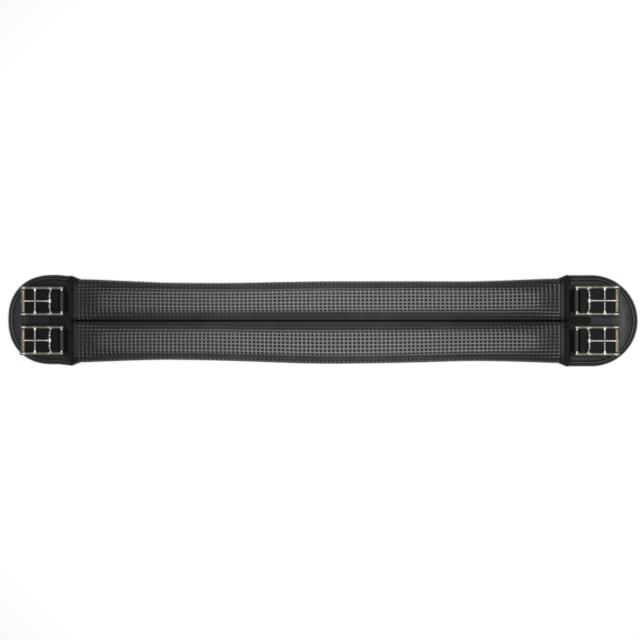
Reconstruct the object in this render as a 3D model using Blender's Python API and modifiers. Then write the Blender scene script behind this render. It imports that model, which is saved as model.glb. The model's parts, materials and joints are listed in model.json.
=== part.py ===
"""A padded saddle girth for a horse, 75 cm long.

A waffle-pattern neoprene cover is stitched down its middle into two channels. Each channel holds
foam and a strip of core webbing. At each end a cap closes the cover over a round end pad, and two
elastic straps come out between the cap and the pad. Each strap is folded round the inner bar of
a roller buckle.

Run it with: blender --background --python part.py

Frame: +X along the girth, +Y towards the front channel, +Z up. The girth lies with its horse side
down, and the origin is at the middle of its length and width, on the surface that it lies on.
Everything is in metres.
"""

import math

import bmesh
import bpy
from mathutils import Matrix, Vector

# Overall sizes
OVERALL_LENGTH = 0.750
END_PAD_WIDTH = 0.1076
CROWN_OVER_STRAPS = 0.0048
STRAP_WIDTH = 0.025

# Room left between pieces that touch, and round a piece that turns on another
GAP = 0.0003
TURNING_GAP = 0.00025

# The cover, caps and buckles sit a little to the left, as the left end pad is sewn in deeper
MIDDLE_SHIFT = -0.0025

# Waffle cover: two channels side by side, pinched together along the middle
END_LENGTH = 0.0853
COVER_END = OVERALL_LENGTH / 2 - END_LENGTH
COVER_WALL = 0.0020
COVER_MIDDLE_WIDTH = END_PAD_WIDTH - 0.0098
COVER_WAIST_WIDTH = END_PAD_WIDTH - 0.0150
COVER_END_WIDTH = END_PAD_WIDTH - 0.0080
COVER_WAIST_AT = 0.63 * COVER_END
SEAM_HALF_HEIGHT = COVER_WALL + GAP
SQUEEZE_LENGTH = 0.030
TOP_SQUARENESS = 2.6
END_SQUARENESS = 4.0
BOTTOM_SQUARENESS = 5.0
FOAM_SQUARENESS = 2.0
FOAM_CLEARANCE = 0.0006

# End cap: closes the cover's end over the end pad and the straps
CAP_WALL = 0.0010
CAP_OVER_COVER = 0.0040
CAP_OVER_PAD = 0.0060
CAP_GROOVE_AT_COVER = 0.0030
CAP_FOOT_SQUARENESS = 16.0
CAP_MOUTH_SQUARENESS = 4.0
CAP_EAR = 0.0004
CAP_HEM = 0.0015

# End pad: lining, foam and face inside a folded edge binding
BINDING_WALL = 0.0010
BINDING_LIP = 0.0068
LINING_THICKNESS = 0.0015
PAD_FOAM_THICKNESS = 0.0025
FACE_THICKNESS = 0.0010
PAD_NECK_INSET = 0.0120
PAD_NECK_LENGTH = CAP_OVER_PAD - 2 * GAP
PAD_SQUARENESS = {"right": 2.0, "left": 2.25}

# Straps and webbing
STRAP_THICKNESS = 0.0016
STRAP_TAIL = 0.042
STRAP_SPACING = 0.437 * END_PAD_WIDTH
LOOP_RUN = 0.011
WEBBING_WIDTH = STRAP_WIDTH + 0.005
WEBBING_THICKNESS = 0.0016
WEBBING_END = COVER_END - 0.007

# Roller buckle, measured from the axis of its inner bar, outwards along the girth
INNER_BAR_AT = COVER_END + 0.016
HINGE_BAR_AT = 0.0145
MIDDLE_BAR_AT = 0.0323
ROLLER_AT = 0.0465
BUCKLE_INNER_WIDTH = STRAP_WIDTH + 0.0024
RAIL_WIDTH = 0.0040
RAIL_HEIGHT = 0.0042
RAIL_PAST_INNER_BAR = 0.0026
RAIL_PAST_ROLLER = 0.0036
RAIL_ROUNDING = 0.0012
INNER_BAR_RADIUS = 0.0018
HINGE_BAR_RADIUS = 0.0014
HINGE_BAR_SWEEP = 0.0028
HINGE_BAR_SWEEP_FROM = 0.0072
COLLAR_AT = 0.0060
COLLAR_RADIUS = 0.0021
MIDDLE_BAR_RADIUS = 0.0015
MIDDLE_BAR_FLARE = 0.0005
FLARE_LENGTH = 0.0045
FLARE_INTO_RAIL = 0.0007
ROLLER_PIN_RADIUS = 0.0015
ROLLER_RADIUS = 0.0028
TONGUE_RADIUS = 0.00115
TONGUE_EYE_RADIUS = 0.0030
TONGUE_EYE_WIDTH = 0.0046
TONGUE_RISE = math.radians(45)
TONGUE_PAST_ROLLER = 0.0016
TONGUE_TIP_DROP = 0.0003

# How finely round shapes are divided
CHANNEL_STEPS = 16
MIDDLE_STATIONS = 7
SQUEEZE_STATIONS = 4
FOAM_STEPS = 10
PAD_ARC_STEPS = 32
LOOP_STEPS = 8
BAR_RESOLUTION = 2
TURNED_STEPS = 12

# Heights that follow from what lies on what, from the surface upwards
LINING_LOW = BINDING_WALL + GAP
PAD_FOAM_LOW = LINING_LOW + LINING_THICKNESS + GAP
FACE_LOW = PAD_FOAM_LOW + PAD_FOAM_THICKNESS + GAP
FACE_HIGH = FACE_LOW + FACE_THICKNESS
BINDING_HIGH = FACE_HIGH + GAP + BINDING_WALL
BAR_HEIGHT = BINDING_HIGH + GAP + ROLLER_RADIUS
STRAP_LOW = BAR_HEIGHT - INNER_BAR_RADIUS - GAP - STRAP_THICKNESS
WEBBING_LOW = STRAP_LOW + STRAP_THICKNESS + GAP
WEBBING_HIGH = WEBBING_LOW + WEBBING_THICKNESS
STRAP_TOP_LOW = WEBBING_HIGH + GAP
STRAP_HIGH = STRAP_TOP_LOW + STRAP_THICKNESS
COVER_MIDDLE_HEIGHT = STRAP_HIGH + CROWN_OVER_STRAPS
COVER_END_LOW = CAP_WALL + GAP
COVER_END_HIGH = STRAP_HIGH + 2 * GAP + COVER_WALL
CAP_MOUTH_HIGH = STRAP_HIGH + 3 * GAP + CAP_WALL

# Places along the girth
CAP_START = COVER_END - CAP_OVER_COVER
CAP_END = COVER_END + CAP_OVER_PAD
PAD_RADIUS = END_PAD_WIDTH / 2
PAD_CENTRE = OVERALL_LENGTH / 2 - PAD_RADIUS
PAD_INNER_HALF_WIDTH = PAD_RADIUS - BINDING_WALL - GAP

SIDES = {"front": 1, "rear": -1}
ENDS = {"right": 1, "left": -1}


def clear_scene():
    for old in list(bpy.data.objects):
        bpy.data.objects.remove(old, do_unlink=True)


def new_collection(name):
    collection = bpy.data.collections.new(name)
    bpy.context.scene.collection.children.link(collection)
    return collection


def new_material(name, colour, roughness, metallic=0.0):
    material = bpy.data.materials.new(name)
    material.use_nodes = True
    shader = material.node_tree.nodes["Principled BSDF"]
    shader.inputs["Base Color"].default_value = (*colour, 1.0)
    shader.inputs["Roughness"].default_value = roughness
    shader.inputs["Metallic"].default_value = metallic
    return material


def place(name, data, material=None, parent=None, location=(0, 0, 0), angle=0.0):
    """Puts data in the girth's collection as an object of this name."""
    made = bpy.data.objects.new(name, data)
    GIRTH.objects.link(made)
    made.parent = parent
    made.location = location
    made.rotation_euler.z = angle
    if material is not None and material.name not in data.materials:
        data.materials.append(material)
    return made


def smooth_step(t):
    t = min(max(t, 0.0), 1.0)
    return t * t * (3 - 2 * t)


# ---------------------------------------------------------------- shared shapes


def loft(name, rows, closed=True, capped=False):
    """A mesh through rows of points. Each row is one section; closed joins a row's two ends.

    The outer side is the one from which each row runs to the right of the way to the next row.
    """
    bm = bmesh.new()
    grid = [[bm.verts.new(point) for point in row] for row in rows]
    count = len(rows[0])
    for first, second in zip(grid, grid[1:]):
        for j in range(count if closed else count - 1):
            k = (j + 1) % count
            bm.faces.new((first[j], second[j], second[k], first[k]))
    if capped:
        bm.faces.new(grid[0])
        bm.faces.new(reversed(grid[-1]))
        bmesh.ops.recalc_face_normals(bm, faces=bm.faces)
    mesh = bpy.data.meshes.new(name)
    bm.to_mesh(mesh)
    bm.free()
    mesh.shade_smooth()
    return mesh


def add_wall(made, thickness, even=False, offset=-1.0):
    """Gives an open surface its thickness, inwards from its outer side unless offset says so."""
    wall = made.modifiers.new("wall", "SOLIDIFY")
    wall.thickness = thickness
    wall.offset = offset
    wall.use_even_offset = even
    wall.use_rim = True
    return made


def channel_ring(half_width, low, high, dip_low, dip_high, foot, crown):
    """(y, z) points round two channels side by side, from the top centre over the front one.

    Each channel is a superellipse, foot and crown being how square it is below and above. A dip is
    how deep the groove between the channels is.
    """
    reach = half_width / 2
    middle = (low + high) / 2
    half_height = (high - low) / 2
    front = []
    for i in range(CHANNEL_STEPS + 1):
        angle = math.pi * (1 - 2 * i / CHANNEL_STEPS)
        above = angle >= 0
        power = 2 / (crown if above else foot)
        cosine = math.cos(angle)
        across = math.copysign(abs(cosine) ** power, cosine)
        rise = abs(math.sin(angle)) ** power
        dip = dip_high if above else dip_low
        height = half_height - dip * (1 - rise) if across < 0 else half_height * rise
        front.append((reach * (1 + across), middle + (height if above else -height)))
    rear = [(-y, z) for y, z in reversed(front[1:-1])]
    return front + rear


def mesh_of(made):
    """The evaluated mesh of an object, welded, in its parent's space. The object is removed."""
    bpy.context.view_layer.update()
    graph = bpy.context.evaluated_depsgraph_get()
    mesh = bpy.data.meshes.new_from_object(made.evaluated_get(graph))
    mesh.transform(made.matrix_world)
    bpy.data.objects.remove(made, do_unlink=True)
    bm = bmesh.new()
    bm.from_mesh(mesh)
    bmesh.ops.remove_doubles(bm, verts=bm.verts, dist=1e-6)
    bmesh.ops.recalc_face_normals(bm, faces=bm.faces)
    bm.to_mesh(mesh)
    bm.free()
    return mesh


def rod(name, points, radius):
    """A round bar along points, as a mesh."""
    curve = bpy.data.curves.new(name, "CURVE")
    curve.dimensions = "3D"
    curve.bevel_depth = radius
    curve.bevel_resolution = BAR_RESOLUTION
    curve.use_fill_caps = True
    spline = curve.splines.new("POLY")
    spline.points.add(len(points) - 1)
    for target, point in zip(spline.points, points):
        target.co = (*point, 1.0)
    return mesh_of(place(name, curve))


def turned(name, profile, loops=False):
    """A shape turned about the Y axis. The profile is (radius, y) points; loops closes it."""
    mesh = bpy.data.meshes.new(name)
    edges = [(i, i + 1) for i in range(len(profile) - 1)]
    if loops:
        edges.append((len(profile) - 1, 0))
    mesh.from_pydata([(radius, y, 0.0) for radius, y in profile], edges, [])
    made = place(name, mesh)
    screw = made.modifiers.new("turn", "SCREW")
    screw.axis = "Y"
    screw.steps = screw.render_steps = TURNED_STEPS
    screw.use_merge_vertices = True
    screw.merge_threshold = 1e-6
    return mesh_of(made)


def joined(name, meshes):
    """Several overlapping meshes as one, by Boolean union."""
    whole = place(name, meshes[0])
    helpers = []
    for i, mesh in enumerate(meshes[1:]):
        helper = place(f"{name}_joined_{i}", mesh)
        union = whole.modifiers.new("join", "BOOLEAN")
        union.operation = "UNION"
        union.solver = "EXACT"
        union.object = helper
        helpers.append(helper)
    mesh = mesh_of(whole)
    for helper in helpers:
        bpy.data.objects.remove(helper, do_unlink=True)
    mesh.name = name
    mesh.shade_smooth()
    mesh.set_sharp_from_angle(angle=math.radians(40))
    return mesh


# ---------------------------------------------------------------- the padded middle


def squeeze(x):
    """0 along the padded middle, rising to 1 where the cap presses the cover flat."""
    return smooth_step((abs(x) - CAP_START + SQUEEZE_LENGTH) / SQUEEZE_LENGTH)


def cover_half_width(x):
    """A swell at the middle, a waist on each side of it, and a flare towards each end."""
    swell = (1 + math.cos(math.pi * min(abs(x) / COVER_WAIST_AT, 1))) / 2
    flare = max(abs(x) - COVER_WAIST_AT, 0) / (COVER_END - COVER_WAIST_AT)
    width = COVER_WAIST_WIDTH + (COVER_MIDDLE_WIDTH - COVER_WAIST_WIDTH) * swell
    return (width + (COVER_END_WIDTH - COVER_WAIST_WIDTH) * flare**2) / 2


def cover_low(x):
    return COVER_END_LOW * squeeze(x)


def cover_high(x):
    return COVER_MIDDLE_HEIGHT + (COVER_END_HIGH - COVER_MIDDLE_HEIGHT) * squeeze(x)


def stations(in_squeeze, extra=()):
    """Places along the girth, closer together where it is squeezed, with in_squeeze of those."""
    start = CAP_START - SQUEEZE_LENGTH
    half = [start * i / (MIDDLE_STATIONS - 1) for i in range(1, MIDDLE_STATIONS)]
    half += [start + SQUEEZE_LENGTH * (i + 1) / SQUEEZE_STATIONS for i in range(in_squeeze)]
    half += extra
    return [-x for x in reversed(half)] + [0.0] + half


def cover_section(x):
    low = cover_low(x)
    high = cover_high(x)
    dip = (high - low) / 2 - SEAM_HALF_HEIGHT
    top = TOP_SQUARENESS + (END_SQUARENESS - TOP_SQUARENESS) * squeeze(x)
    ring = channel_ring(cover_half_width(x), low, high, dip, dip, BOTTOM_SQUARENESS, top)
    return [(x, y, z) for y, z in ring]


def make_cover():
    places = stations(SQUEEZE_STATIONS, extra=[COVER_END])
    mesh = loft("waffle_cover", [cover_section(x) for x in places])
    add_wall(place("waffle_cover", mesh, NEOPRENE, location=(MIDDLE_SHIFT, 0, 0)), COVER_WALL)


def half_section(x, side, half_width, base, tip, square):
    """A flat-based half superellipse in one channel, from its base at one edge to the other."""
    centre = cover_half_width(x) / 2
    points = []
    for i in range(FOAM_STEPS + 1):
        angle = math.pi * i / FOAM_STEPS
        across = math.copysign(abs(math.cos(angle)) ** (2 / square), math.cos(angle))
        rise = math.sin(angle) ** (2 / square) if 0 < i < FOAM_STEPS else 0.0
        points.append((x, side * (centre + half_width * across), base + (tip - base) * rise))
    return points


def make_foams():
    """In each channel, a thick strip on the horse side of the webbing and a thin one outside it."""
    for name, side in SIDES.items():
        inner_rows, outer_rows = [], []
        for x in stations(1):
            room = cover_half_width(x) / 2 - COVER_WALL - FOAM_CLEARANCE
            floor = cover_low(x) + COVER_WALL + FOAM_CLEARANCE
            roof = cover_high(x) - COVER_WALL - FOAM_CLEARANCE
            inner_rows.append(
                half_section(x, side, room, WEBBING_LOW - GAP, floor, BOTTOM_SQUARENESS)
            )
            narrowed = room - 4 * FOAM_CLEARANCE
            outer_rows.append(
                half_section(x, side, narrowed, WEBBING_HIGH + GAP, roof, FOAM_SQUARENESS)
            )
        inner_name = f"{name}_horse_side_foam"
        outer_name = f"{name}_outer_foam"
        for foam_name, rows in ((inner_name, inner_rows), (outer_name, outer_rows)):
            mesh = loft(foam_name, rows, capped=True)
            place(foam_name, mesh, FOAM, location=(MIDDLE_SHIFT, 0, 0))


def box(name, size, centre, material, rounding=0.0):
    bm = bmesh.new()
    bmesh.ops.create_cube(bm, size=1.0)
    bmesh.ops.scale(bm, vec=size, verts=bm.verts)
    if rounding:
        bmesh.ops.bevel(bm, geom=bm.edges, offset=rounding, segments=2, affect="EDGES", profile=0.5)
    mesh = bpy.data.meshes.new(name)
    bm.to_mesh(mesh)
    bm.free()
    return place(name, mesh, material, location=centre)


def make_webbings():
    for name, side in SIDES.items():
        box(
            f"{name}_core_webbing",
            (2 * WEBBING_END, WEBBING_WIDTH, WEBBING_THICKNESS),
            (MIDDLE_SHIFT, side * STRAP_SPACING / 2, (WEBBING_LOW + WEBBING_HIGH) / 2),
            WEBBING,
        )


# ---------------------------------------------------------------- caps and end pads


def cap_sections():
    """The cap's outside from over the cover to its mouth over the end pad, which has a straight hem."""
    over_cover = CAP_WALL + GAP
    roof = COVER_END_HIGH + over_cover
    mouth_dip = CAP_MOUTH_HIGH - BINDING_HIGH
    mouth_half_width = PAD_RADIUS + CAP_EAR
    flare_start = COVER_END + GAP
    rows = []
    for x in (CAP_START, flare_start):
        wide = cover_half_width(min(x, COVER_END)) + over_cover
        ring = channel_ring(
            wide, 0.0, roof, 0.0, CAP_GROOVE_AT_COVER, BOTTOM_SQUARENESS, END_SQUARENESS
        )
        rows.append([(x, y, z) for y, z in ring])
    mouth = channel_ring(
        mouth_half_width, 0.0, CAP_MOUTH_HIGH, 0.0, mouth_dip, CAP_FOOT_SQUARENESS, CAP_MOUTH_SQUARENESS
    )
    hem_start = CAP_END - CAP_HEM
    hem = [[(x, y, z) for y, z in mouth] for x in (hem_start, CAP_END)]
    half_way = [(Vector(a) + Vector(b)) / 2 for a, b in zip(rows[-1], hem[0])]
    return [*rows, half_way, *hem]


def pad_outline(half_width, mouth, squareness):
    """An end pad seen from above, from its front inner corner round the end to its rear one."""
    points = [(mouth, half_width)]
    for i in range(PAD_ARC_STEPS + 1):
        angle = math.pi / 2 - math.pi * i / PAD_ARC_STEPS
        along = max(math.cos(angle), 0.0) ** (2 / squareness)
        across = math.copysign(abs(math.sin(angle)) ** (2 / squareness), math.sin(angle))
        points.append((PAD_CENTRE + half_width * along, half_width * across))
    points.append((mouth, -half_width))
    return points


def plate_curve(name, thickness, mouth, squareness):
    """A flat layer of the end pad, with a neck that tapers into the cap."""
    neck_start = mouth - PAD_NECK_LENGTH
    neck_half_width = PAD_INNER_HALF_WIDTH - PAD_NECK_INSET
    outline = [(neck_start, neck_half_width)]
    outline += pad_outline(PAD_INNER_HALF_WIDTH, mouth + CAP_WALL, squareness)
    outline += [(neck_start, -neck_half_width)]
    curve = bpy.data.curves.new(name, "CURVE")
    curve.dimensions = "2D"
    curve.fill_mode = "BOTH"
    curve.extrude = thickness / 2
    spline = curve.splines.new("POLY")
    spline.points.add(len(outline) - 1)
    spline.use_cyclic_u = True
    for target, (x, y) in zip(spline.points, outline):
        target.co = (x, y, 0.0, 1.0)
    return curve


def binding_mesh(name, mouth, squareness):
    """A strip folded over the pad's edge, as the surface that its wall is measured in from."""
    start = mouth + GAP
    edge = pad_outline(PAD_RADIUS, start, squareness)
    lip = pad_outline(PAD_RADIUS - BINDING_LIP, start, squareness)
    rows = []
    for (edge_x, edge_y), (lip_x, lip_y) in zip(edge, lip):
        low_fold = (edge_x, edge_y, 0.0)
        high_fold = (edge_x, edge_y, BINDING_HIGH)
        rows.append([(lip_x, lip_y, 0.0), low_fold, high_fold, (lip_x, lip_y, BINDING_HIGH)])
    return loft(name, rows[::-1], closed=False)


def make_end_pad(end, angle, mouth):
    """Lining, foam, face and binding, with the cap's mouth this far from the girth's middle."""
    squareness = PAD_SQUARENESS[end]
    name = f"{end}_pad_binding"
    edge = place(name, binding_mesh(name, mouth, squareness), LEATHER, angle=angle)
    add_wall(edge, BINDING_WALL, even=True)
    layers = {
        "lining": (LINING_LOW, LINING_THICKNESS, NEOPRENE),
        "foam": (PAD_FOAM_LOW, PAD_FOAM_THICKNESS, FOAM),
        "face": (FACE_LOW, FACE_THICKNESS, LEATHER),
    }
    for layer, (low, thickness, material) in layers.items():
        name = f"{end}_pad_{layer}"
        curve = plate_curve(name, thickness, mouth, squareness)
        place(name, curve, material, location=(0, 0, low + thickness / 2), angle=angle)


def make_ends():
    """The cap and pad of each end. The left ones are drawn as right ones and turned."""
    cap = loft("end_cap", cap_sections())
    for end, direction in ENDS.items():
        angle = 0.0 if direction > 0 else math.pi
        shift = (MIDDLE_SHIFT, 0, 0)
        add_wall(place(f"{end}_end_cap", cap, LEATHER, location=shift, angle=angle), CAP_WALL)
        make_end_pad(end, angle, CAP_END + direction * MIDDLE_SHIFT)


# ---------------------------------------------------------------- straps and buckles


def strap_mesh():
    """A strap folded round the inner bar, from the bar's axis: lower layer, loop, upper layer."""
    lower = STRAP_LOW + STRAP_THICKNESS / 2 - BAR_HEIGHT
    upper = STRAP_TOP_LOW + STRAP_THICKNESS / 2 - BAR_HEIGHT
    turn = -lower
    line = [(-STRAP_TAIL, lower)]
    for i in range(LOOP_STEPS + 1):
        angle = -math.pi / 2 + math.pi * i / LOOP_STEPS
        line.append((turn * math.cos(angle), turn * math.sin(angle)))
    for i in range(1, LOOP_STEPS + 1):
        t = i / LOOP_STEPS
        line.append((-LOOP_RUN * t, turn + (upper - turn) * smooth_step(t)))
    line.append((-STRAP_TAIL, upper))
    rows = [[(x, y, z) for y in (-STRAP_WIDTH / 2, STRAP_WIDTH / 2)] for x, z in line]
    return loft("elastic_strap", rows, closed=False)


def frame_mesh():
    """The buckle's cast frame, from its inner bar's axis, with its bars along Y."""
    reach = (BUCKLE_INNER_WIDTH + RAIL_WIDTH) / 2
    start = -RAIL_PAST_INNER_BAR
    end = ROLLER_AT + RAIL_PAST_ROLLER
    rails = []
    for side in SIDES.values():
        rail = box(
            "rail",
            (end - start, RAIL_WIDTH, RAIL_HEIGHT),
            ((start + end) / 2, side * reach, 0),
            None,
            RAIL_ROUNDING,
        )
        rails.append(mesh_of(rail))
    inner_bar = rod("inner_bar", [(0, -reach, 0), (0, reach, 0)], INNER_BAR_RADIUS)
    pin_ends = [(ROLLER_AT, -reach, 0), (ROLLER_AT, reach, 0)]
    roller_pin = rod("roller_pin", pin_ends, ROLLER_PIN_RADIUS)
    return joined(
        "buckle_frame",
        [*rails, inner_bar, hinge_bar_mesh(reach), *collar_meshes(), middle_bar_mesh(reach), roller_pin],
    )


def hinge_bar_mesh(reach):
    """The tongue's bar. Its ends sweep back towards the inner bar where they meet the rails."""
    sweep_steps = 4
    points = []
    for i in range(sweep_steps + 1):
        t = i / sweep_steps
        y = HINGE_BAR_SWEEP_FROM + (reach - HINGE_BAR_SWEEP_FROM) * t
        points.append((HINGE_BAR_AT - HINGE_BAR_SWEEP * smooth_step(t), y))
    far_side = [(x, -y) for x, y in reversed(points)]
    return rod("hinge_bar", [(x, y, 0) for x, y in far_side + points], HINGE_BAR_RADIUS)


def collar_meshes():
    """A bead on each side of the tongue, which keeps it in the middle of its bar."""
    meshes = []
    for side in SIDES.values():
        bm = bmesh.new()
        bmesh.ops.create_uvsphere(bm, u_segments=10, v_segments=6, radius=COLLAR_RADIUS)
        bmesh.ops.rotate(bm, verts=bm.verts, matrix=ALONG_Y)
        bmesh.ops.translate(bm, verts=bm.verts, vec=(HINGE_BAR_AT, side * COLLAR_AT, 0))
        mesh = bpy.data.meshes.new("collar")
        bm.to_mesh(mesh)
        bm.free()
        meshes.append(mesh)
    return meshes


def middle_bar_mesh(reach):
    """A bar that flares where it meets the rails."""
    flare_steps = 3
    flare_end = BUCKLE_INNER_WIDTH / 2 + FLARE_INTO_RAIL
    half = []
    for i in range(flare_steps + 1):
        t = i / flare_steps
        y = flare_end - FLARE_LENGTH * (1 - t)
        half.append((MIDDLE_BAR_RADIUS + MIDDLE_BAR_FLARE * t * t, y))
    half.append((MIDDLE_BAR_RADIUS + MIDDLE_BAR_FLARE, reach))
    half.append((0.0, reach))
    profile = [(radius, -y) for radius, y in reversed(half)] + half
    mesh = turned("middle_bar", list(reversed(profile)))
    mesh.transform(Matrix.Translation((MIDDLE_BAR_AT, 0, 0)))
    return mesh


def ring_profile(inner, outer, width):
    return [(outer, width / 2), (outer, -width / 2), (inner, -width / 2), (inner, width / 2)]


def roller_mesh():
    width = BUCKLE_INNER_WIDTH - 2 * GAP
    bore = ROLLER_PIN_RADIUS + TURNING_GAP
    mesh = turned("buckle_roller", ring_profile(bore, ROLLER_RADIUS, width), loops=True)
    mesh.shade_smooth()
    mesh.set_sharp_from_angle(angle=math.radians(40))
    return mesh


def tongue_mesh():
    """A tongue from its hinge bar's axis: an eye round the bar, and a shank that rests on the roller."""
    bore = HINGE_BAR_RADIUS + TURNING_GAP
    eye = turned("tongue_eye", ring_profile(bore, TONGUE_EYE_RADIUS, TONGUE_EYE_WIDTH), loops=True)
    run = ROLLER_AT - HINGE_BAR_AT
    rest_height = ROLLER_RADIUS + GAP + TONGUE_RADIUS
    out_of_eye = Vector((math.cos(TONGUE_RISE), 0, math.sin(TONGUE_RISE)))
    line = [
        out_of_eye * (bore + GAP),
        out_of_eye * (TONGUE_EYE_RADIUS + TONGUE_RADIUS / 2),
        (run * 0.5, 0, rest_height),
        (run, 0, rest_height),
        (run + TONGUE_PAST_ROLLER, 0, rest_height - TONGUE_TIP_DROP),
    ]
    return joined("buckle_tongue", [eye, rod("tongue_shank", line, TONGUE_RADIUS)])


def make_straps_and_buckles():
    strap = strap_mesh()
    frame = frame_mesh()
    roller = roller_mesh()
    tongue = tongue_mesh()
    for end, direction in ENDS.items():
        for side, towards in SIDES.items():
            name = f"{end}_{side}"
            bar_at = direction * INNER_BAR_AT + MIDDLE_SHIFT
            centre = (bar_at, towards * STRAP_SPACING / 2, BAR_HEIGHT)
            angle = 0.0 if direction > 0 else math.pi
            axis = place(f"{name}_inner_bar_axis", None, location=centre, angle=angle)
            elastic = place(f"{name}_elastic_strap", strap, ELASTIC, parent=axis)
            add_wall(elastic, STRAP_THICKNESS, even=True, offset=0.0)
            place(f"{name}_buckle_frame", frame, STEEL, parent=axis)
            hinge = (HINGE_BAR_AT, 0, 0)
            place(f"{name}_buckle_tongue", tongue, STEEL, parent=axis, location=hinge)
            pin = (ROLLER_AT, 0, 0)
            place(f"{name}_buckle_roller", roller, STEEL, parent=axis, location=pin)


ALONG_Y = Matrix.Rotation(math.pi / 2, 3, "X")

clear_scene()
GIRTH = new_collection("saddle_girth")
NEOPRENE = new_material("black_neoprene", (0.055, 0.055, 0.057), 0.75)
FOAM = new_material("grey_foam", (0.20, 0.20, 0.21), 0.95)
LEATHER = new_material("black_smooth_leather", (0.045, 0.044, 0.050), 0.50)
ELASTIC = new_material("black_elastic", (0.020, 0.020, 0.021), 0.85)
WEBBING = new_material("black_webbing", (0.030, 0.030, 0.032), 0.80)
STEEL = new_material("stainless_steel", (0.56, 0.54, 0.51), 0.28, metallic=1.0)

make_cover()
make_foams()
make_webbings()
make_ends()
make_straps_and_buckles()
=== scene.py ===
"""The looks of a padded saddle girth: waffle-pattern cover, leather caps and end pads, elastic
straps and roller buckles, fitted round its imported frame.

Everything is in metres. +X runs along the girth, +Y towards the front channel and +Z up, away
from the horse.
"""

import json
import math
from contextlib import contextmanager

import bmesh
import bpy
import numpy as np
from mathutils import Matrix, Vector, noise


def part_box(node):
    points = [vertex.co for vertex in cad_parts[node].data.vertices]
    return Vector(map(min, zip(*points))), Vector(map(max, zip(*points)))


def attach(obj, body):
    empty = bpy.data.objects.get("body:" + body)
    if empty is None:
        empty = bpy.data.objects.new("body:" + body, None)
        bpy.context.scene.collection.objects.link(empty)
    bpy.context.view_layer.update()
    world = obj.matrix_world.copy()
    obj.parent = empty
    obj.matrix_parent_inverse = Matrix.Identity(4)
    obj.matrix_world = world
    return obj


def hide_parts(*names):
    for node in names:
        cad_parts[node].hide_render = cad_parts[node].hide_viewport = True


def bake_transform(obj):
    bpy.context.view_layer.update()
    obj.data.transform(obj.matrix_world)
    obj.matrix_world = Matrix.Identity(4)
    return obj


bl_info = {
    "name": "Saddle Girth Looks",
    "version": (1, 0, 0),
    "blender": (4, 5, 0),
    "location": "View3D > Sidebar > Girth",
    "description": "Builds the visible pieces of a padded saddle girth round its packed frame",
    "category": "Object",
}

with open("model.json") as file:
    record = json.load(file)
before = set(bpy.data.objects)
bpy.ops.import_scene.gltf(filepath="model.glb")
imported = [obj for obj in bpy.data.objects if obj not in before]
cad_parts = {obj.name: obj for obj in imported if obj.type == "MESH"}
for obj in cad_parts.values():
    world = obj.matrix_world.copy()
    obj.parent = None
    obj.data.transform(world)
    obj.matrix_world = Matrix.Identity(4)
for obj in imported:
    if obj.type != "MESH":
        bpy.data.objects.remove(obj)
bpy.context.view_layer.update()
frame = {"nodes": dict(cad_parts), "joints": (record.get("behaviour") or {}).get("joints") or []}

# The girth's two ends, and which way each lies along X
ENDS = {"right": 1, "left": -1}
SIDES = ("front", "rear")

# Places that the frame gives
COVER_LOW, COVER_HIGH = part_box("waffle_cover")
CAP_LOW, CAP_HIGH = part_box("right_end_cap")
BINDING_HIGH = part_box("right_pad_binding")[1]
BINDING_TOP = BINDING_HIGH.z
PAD_RADIUS = BINDING_HIGH.y
PAD_CENTRE = BINDING_HIGH.x - PAD_RADIUS
FACE_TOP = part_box("right_pad_face")[1].z
MIDDLE = (COVER_LOW.x + COVER_HIGH.x) / 2
COVER_END = (COVER_HIGH.x - COVER_LOW.x) / 2
CAP_START = CAP_LOW.x - MIDDLE
CAP_END = CAP_HIGH.x - MIDDLE
JOINTS = {joint["name"]: joint for joint in frame["joints"]}


def joint_point(name):
    return Vector(JOINTS[name]["pos_m"])


ROLLER_AT = joint_point("right_front_roller_spin").x - MIDDLE
STRAP_OFFSET = joint_point("right_front_buckle_swing").y

# Where the cover's widths are given, from its middle
WIDTH_STATIONS = (-0.290, -0.260, -0.189, -0.141, -0.094, 0.0, 0.096, 0.1435, 0.191, 0.262, 0.290)


def length_setting(name, description, default):
    return bpy.props.FloatProperty(
        name=name, description=description, default=default, subtype="DISTANCE", unit="LENGTH"
    )


def colour_setting(name, description, default):
    return bpy.props.FloatVectorProperty(
        name=name, description=description, default=default, subtype="COLOR"
    )


class WaffleSizes(bpy.types.PropertyGroup):
    """The cover's cells and shape"""

    pitch: length_setting("Cell length", "From one pit to the next along the girth", 0.00494)
    rows: bpy.props.IntProperty(
        name="Rows", description="Rows of pits round one channel", default=27, min=8
    )
    pit_inset: length_setting("Rib half width", "From a cell's edge to its pit", 0.00130)
    pit_depth: length_setting("Pit depth", "How deep the pits are", 0.0011)
    knot_height: length_setting("Knot height", "How far the ribs' crossings stand out", 0.00022)
    widths: bpy.props.FloatVectorProperty(
        name="Widths", description="Width of the cover at places from its left end to its right",
        size=len(WIDTH_STATIONS), unit="LENGTH",
        default=(
            0.0996, 0.0974, 0.0946, 0.0944, 0.0955, 0.1006, 0.0993, 0.0978, 0.0958, 0.0973, 0.0996
        ),
    )
    bow: length_setting(
        "Bow", "How far the rear edge bellies out at the middle, and the front one in", 0.0022
    )
    seam_half_height: length_setting(
        "Seam half height", "Half the thickness left at the middle seam", 0.0014
    )
    pressure: bpy.props.FloatProperty(
        name="Padding pressure", description="How hard the foam pushes the cover out", default=4.0
    )
    rib_colour: colour_setting("Rib colour", "Colour of the cover's ribs", (0.0340, 0.0330, 0.0338))
    # The pits are painted this dark as the shade that falls in them.
    pit_shade_colour: colour_setting("Pit shade colour", "Colour of the pits' bottoms", (0.003, 0.003, 0.003))


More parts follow.
